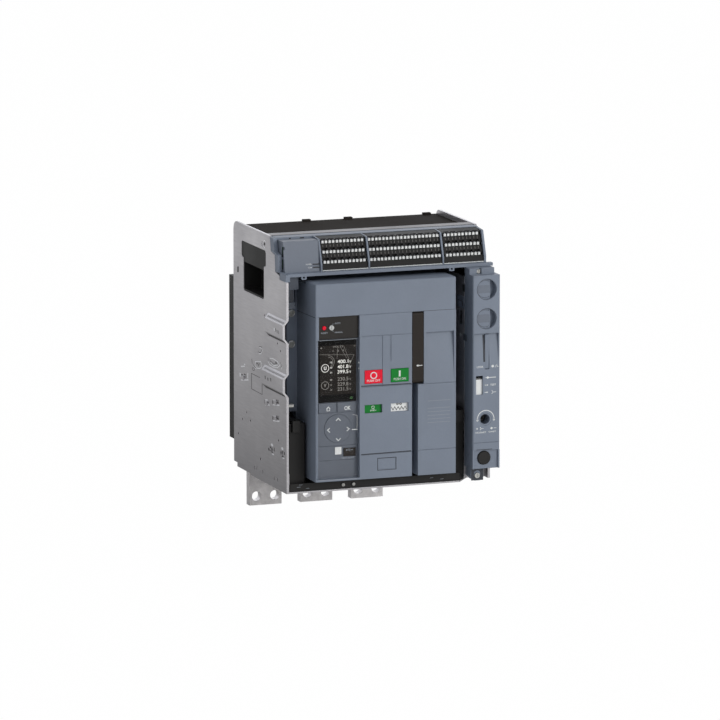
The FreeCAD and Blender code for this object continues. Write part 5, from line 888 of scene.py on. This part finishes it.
def plate_marks():
    """Clips, lugs and bolt ends pressed into or fixed through the left side plate, drawn as painted shade and
    painted highlights.
    """
    shade = Print("plate_shades", "painted_dent_shade", "chassis", SHEET_X, "left")
    shine = Print("plate_lights", "painted_ridge_highlight", "chassis", SHEET_X, "left")
    pressed(shade, shine, [(-2.2, 172.5), (7.5, 172.7), (8.3, 170.3), (3.8, 165.4), (-4.3, 164.0),
                           (-7.0, 165.8)])
    # The two marks at the rear, each with painted highlight strokes beside painted shade ones
    shine.shapes(stroke([(-73.5, 134.6), (-58.5, 137.4)], 1.7), rect(-61.0, -56.5, 138.9, 140.6),
                 rect(-78.5, -73.5, 121.3, 125.8), stroke([(-72.7, 117.2), (-44.0, 122.0)], 1.8),
                 rect(-48.2, -45.4, 123.6, 130.6))
    shade.shapes(oval(-68.5, 124.2, 2.8, 1.5), rect(-61.7, -54.8, 125.8, 127.5),
                 stroke([(-64.0, 122.4), (-52.0, 124.4)], 0.9))
    # The lugs behind and above the lower bulge
    pressed(shade, shine, [(-30.7, 147.6), (-24.7, 143.9), (-16.0, 142.3)], 1.0)
    shine.shape(stroke([(-17.6, 144.4), (-17.6, 150.2), (3.1, 153.6), (7.2, 151.8), (6.4, 146.4),
                        (-2.4, 143.8), (-12.0, 142.9), (-17.0, 144.6)], 1.3))
    shade.shapes(oval(-10.8, 148.9, 2.5, 1.2), stroke([(-6.6, 151.0), (-5.0, 146.6), (-0.8, 150.8)], 1.2),
                 stroke([(-31.5, 151.5), (-29.5, 147.8)], 1.6))
    shade.shape(oval(-24.5, 139.4, 4.6, 2.3), oval(-24.5, 139.4, 3.2, 1.6))
    rim = [(31.9, 158.6), (37.0, 163.2), (50.0, 165.4), (67.0, 164.0), (76.5, 160.6), (67.0, 156.4),
           (50.0, 154.6), (37.0, 155.6)]
    shine.shape(stroke(rim + rim[:2], 1.3))
    pressed(shade, shine, [(40.0, 160.8), (52.0, 158.4), (66.0, 161.2)], 1.2, 1.4)
    shade.shape(oval(61.5, 162.2, 3.0, 1.0))
    pressed(shade, shine, [(77.7, 165.0), (83.0, 161.3), (79.0, 157.6)])
    # A thin square outline, and the clips and bolts in front of it
    shade.shape([(-33.2, 132.9), (9.4, 132.8), (9.4, 111.6), (-33.2, 112.2)],
                [(-31.4, 132.1), (7.7, 132.0), (7.7, 112.4), (-31.4, 113.0)])
    plate_clip(shade, shine, 17.1, 103.7, False)
    for z in (109.0, 88.5):
        plate_clip(shade, shine, 48.1, z, True)
    plate_bolt(shade, shine, 46.0, 53.5, ((-12.4, 7.7, 2.8, 1.9), (8.3, 4.5, 1.6, 2.7), (0.0, 9.1, 3.0, 1.2),
                                          (-5.5, 4.1, 3.0, 1.2), (-7.0, 8.6, 2.0, 1.0)))
    plate_bolt(shade, shine, 85.0, 55.6, ((-5.5, 6.2, 1.8, 2.3), (7.7, 4.7, 1.8, 2.3), (1.0, 3.2, 3.6, 0.8),
                                          (1.1, 9.8, 3.6, 1.3)))
    # The screw beside the lifting window and the slot at the rear
    pressed(shade, shine, [(10.5, 309.5), (8.6, 306.0), (10.8, 302.8)], 1.4, 0.0)
    shine.shape(stroke(arc(19.0, 307.0, 4.6, 40.0, 250.0, 16), 1.5))
    shade.shapes(arc(19.6, 307.2, 2.2, steps=12),
                 [(-86.4, 262.0), (-80.4, 263.2), (-80.4, 255.9), (-86.4, 254.8)]).done()
    shine.done()
    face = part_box("left_side_plate")[0].x / MM
    wide = ((-2.2, 1.9), (1.0, 2.3), (1.8, -1.8), (-0.4, -2.2))
    slim = ((-1.2, 2.0), (0.6, 2.4), (1.2, -1.8), (-0.4, -2.2))
    mark("bulge_slots", "dark_ink_and_shade", "chassis", face,
         *repeated(wide, ((34.6, 138.8), (44.8, 138.1), (55.6, 139.2))),
         *repeated(slim, ((74.5, 206.0), (80.0, 205.0), (84.6, 204.6))), look="left")
    # A painted highlight spot on the upper bulge
    mark("bulge_highlight_spot", "painted_ridge_highlight", "chassis", face, oval(69.4, 206.2, 2.4, 2.0), look="left")


def bulge_bands():
    """On each bulge, a painted grey reflection band between the bright bends of its upper flank, and painted
    shade on its lower flank.
    """
    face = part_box("left_side_plate")[0].x / MM
    height, rise, out, margin, reach = 29.4, 6.0, 5.0, 0.4, 0.05
    crest = [v.co.y / MM for v in cad["left_side_plate"].data.vertices if v.co.x / MM < face + reach]
    front = -min(crest) - margin
    slant = math.hypot(rise, out)
    for name, foot, rear in (("upper", 192.0, 37.0), ("lower", 123.4, 24.5)):
        look = (Vector((0, -1, 0)), Vector((out, 0, rise)) / slant, Vector((-rise, 0, out)) / slant)
        mark(name + "_bulge_reflection_band", "painted_reflection_band", "chassis", Vector((face, 0, foot + height - rise)),
             rect(rear, front, 2.3, 5.0), look=look)
        look = (Vector((0, -1, 0)), Vector((-out, 0, rise)) / slant, Vector((-rise, 0, -out)) / slant)
        mark(name + "_bulge_shade", "painted_dent_shade", "chassis", Vector((SHEET_X, 0, foot)),
             rect(rear, front, 0.6, 5.4), look=look)


def flange_screw_glints():
    """Painted highlights on the rims of the two flange screws that show in the gap at the left."""
    x, head_r = -101.0, 3.9
    glints = Print("flange_screw_glints", "painted_ridge_highlight", "breaker", front_of("breaker_screws"))
    for z in (222.4, 182.8):
        glints.shapes(stroke(arc(x, z, head_r, 70.0, 130.0, 14), 1.3),
                      stroke(arc(x, z, head_r, -50.0, 50.0, 8), 0.9))
    glints.done()


def gap_marks():
    """What shows in the gap at the right: a bracket with its seam, a slot, a spacer and a screw's tip;
    painted shade lies on the bracket, and the screw's tip is among the painted glints.
    """
    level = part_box("racking_wall")[0].x / MM
    bracket, on_bracket, on_slot = 0.4, 0.45, 0.05
    mark("gap_bracket", "blue_grey", "chassis", level, rect(66.0, 90.5, 221.5, 236.5),
         look="left", proud=bracket)
    mark("gap_shades", "dark_ink_and_shade", "chassis", level - on_bracket, rect(68.0, 86.0, 229.6, 230.3),
         rect(84.0, 86.4, 224.0, 229.0), look="left")
    mark("gap_slot", "dark_ink_and_shade", "chassis", level,
         [(75.6, 217.0), (82.5, 217.6), (82.5, 200.8), (75.6, 200.0)], rect(84.0, 92.0, 243.0, 252.0),
         look="left")
    mark("gap_glints", "white_ink_and_highlight", "chassis", level - on_slot, rect(66.0, 72.0, 217.4, 218.3),
         rect(73.0, 83.5, 185.7, 186.7), rect(75.0, 78.0, 184.0, 188.2), look="left")
    mark("gap_low_bracket", "seam_and_shade_ink", "chassis", level, rect(86.5, 99.0, 180.5, 189.0), look="left")


def recess_ring_shades():
    """Painted shade in each key recess: a dark rim, a shaded floor and a dark ring on that floor."""
    level = front_of("racking_housing")
    depth, layer = 3.0, 0.04
    rims = Print("recess_rim_shade", "seam_and_shade_ink", "chassis", level)
    floors = Print("recess_floor_shade", "soft_grey", "chassis", level + depth)
    rings = Print("recess_ring_shades", "seam_and_shade_ink", "chassis", level + depth - layer)
    for z in (249.9, 212.3):
        rims.shape(*ring(137.0, z, 13.6, 0.55))
        floors.shape(rect(125.4, 141.8, z - 5.2, z + 5.2))
        rings.shape(stroke(arc(135.6, z, 11.0, 60.0, 240.0, 24), 0.5))
    rims.done()
    floors.done()
    rings.done()


def foot_shades():
    """Painted shade on the front of the housing's foot round its screw, and a painted shadow along the step
    over the release button.
    """
    foot_y = -108.0
    foot = Print("foot_face_shade", "shadow_ink", "chassis", foot_y)
    foot.shape(rect(121.3, 137.8, 2.3, 19.0), arc(129.5, 10.6, 4.4)).done()
    mark("button_step_shadow", "shadow_ink", "chassis", front_of("racking_housing"), rect(123.6, 145.0, 43.6, 44.5))


def tray_light_spots():
    """Small light spots along the front of the base tray."""
    spot_shape = ((-2.4, -0.3), (2.2, -0.1), (2.4, 0.4), (-2.2, 0.2))
    spots = ((-105.4, 10.3), (-108.2, 7.5), (-96.2, 5.3), (70.9, 7.6), (85.0, 5.3))
    mark("tray_light_spots", "grey_ink", "chassis", front_of("base_tray"), *repeated(spot_shape, spots))


def tab_shadow_line():
    """A painted shadow line beside the padlock tab, laid into the curved finger dish."""
    dish_foot, dish_h, face, slope, bend = 155.0, 38.0, -121.0, 1.6, 2.4
    foot, height, steps = 157.0, 34.0, 14
    x0, x1, proud, sunk = 132.4, 135.0, 0.06, 0.02
    work = bmesh.new()
    rows = []
    for i in range(steps + 1):
        z = foot + height * i / steps
        share = (z - dish_foot) / dish_h
        y = face + slope * share + bend * share * share
        rows.append([work.verts.new((x * MM, (y + d) * MM, z * MM))
                     for x, d in ((x0, -proud), (x1, -proud), (x1, sunk), (x0, sunk))])
    for low, high in zip(rows, rows[1:]):
        for i in range(4):
            work.faces.new((low[i], low[(i + 1) % 4], high[(i + 1) % 4], high[i]))
    work.faces.new(rows[0][::-1])
    work.faces.new(rows[-1])
    mesh = bpy.data.meshes.new("tab_shadow_line")
    work.to_mesh(mesh)
    work.free()
    add_piece("tab_shadow_line", mesh, "chassis", "shadow_ink")


make_camera()
make_lights()
make_world()
make_floor()
for finish, nodes in NODES_OF.items():
    for node in nodes:
        dress(node, finish)

push_button_marks()
indicator_marks()
display_marks()
panel_marks()
key_marks()
handle_mark()
housing_marks()
low_panel_marks()
trip_foot_marks()
door_glints()
cover_marks()
module_marks()
carrier_marks()
lever_marks()
plate_marks()
bulge_bands()
flange_screw_glints()
gap_marks()
recess_ring_shades()
foot_shades()
tray_light_spots()
tab_shadow_line()

view = bpy.context.scene.view_settings
view.view_transform = "Standard"
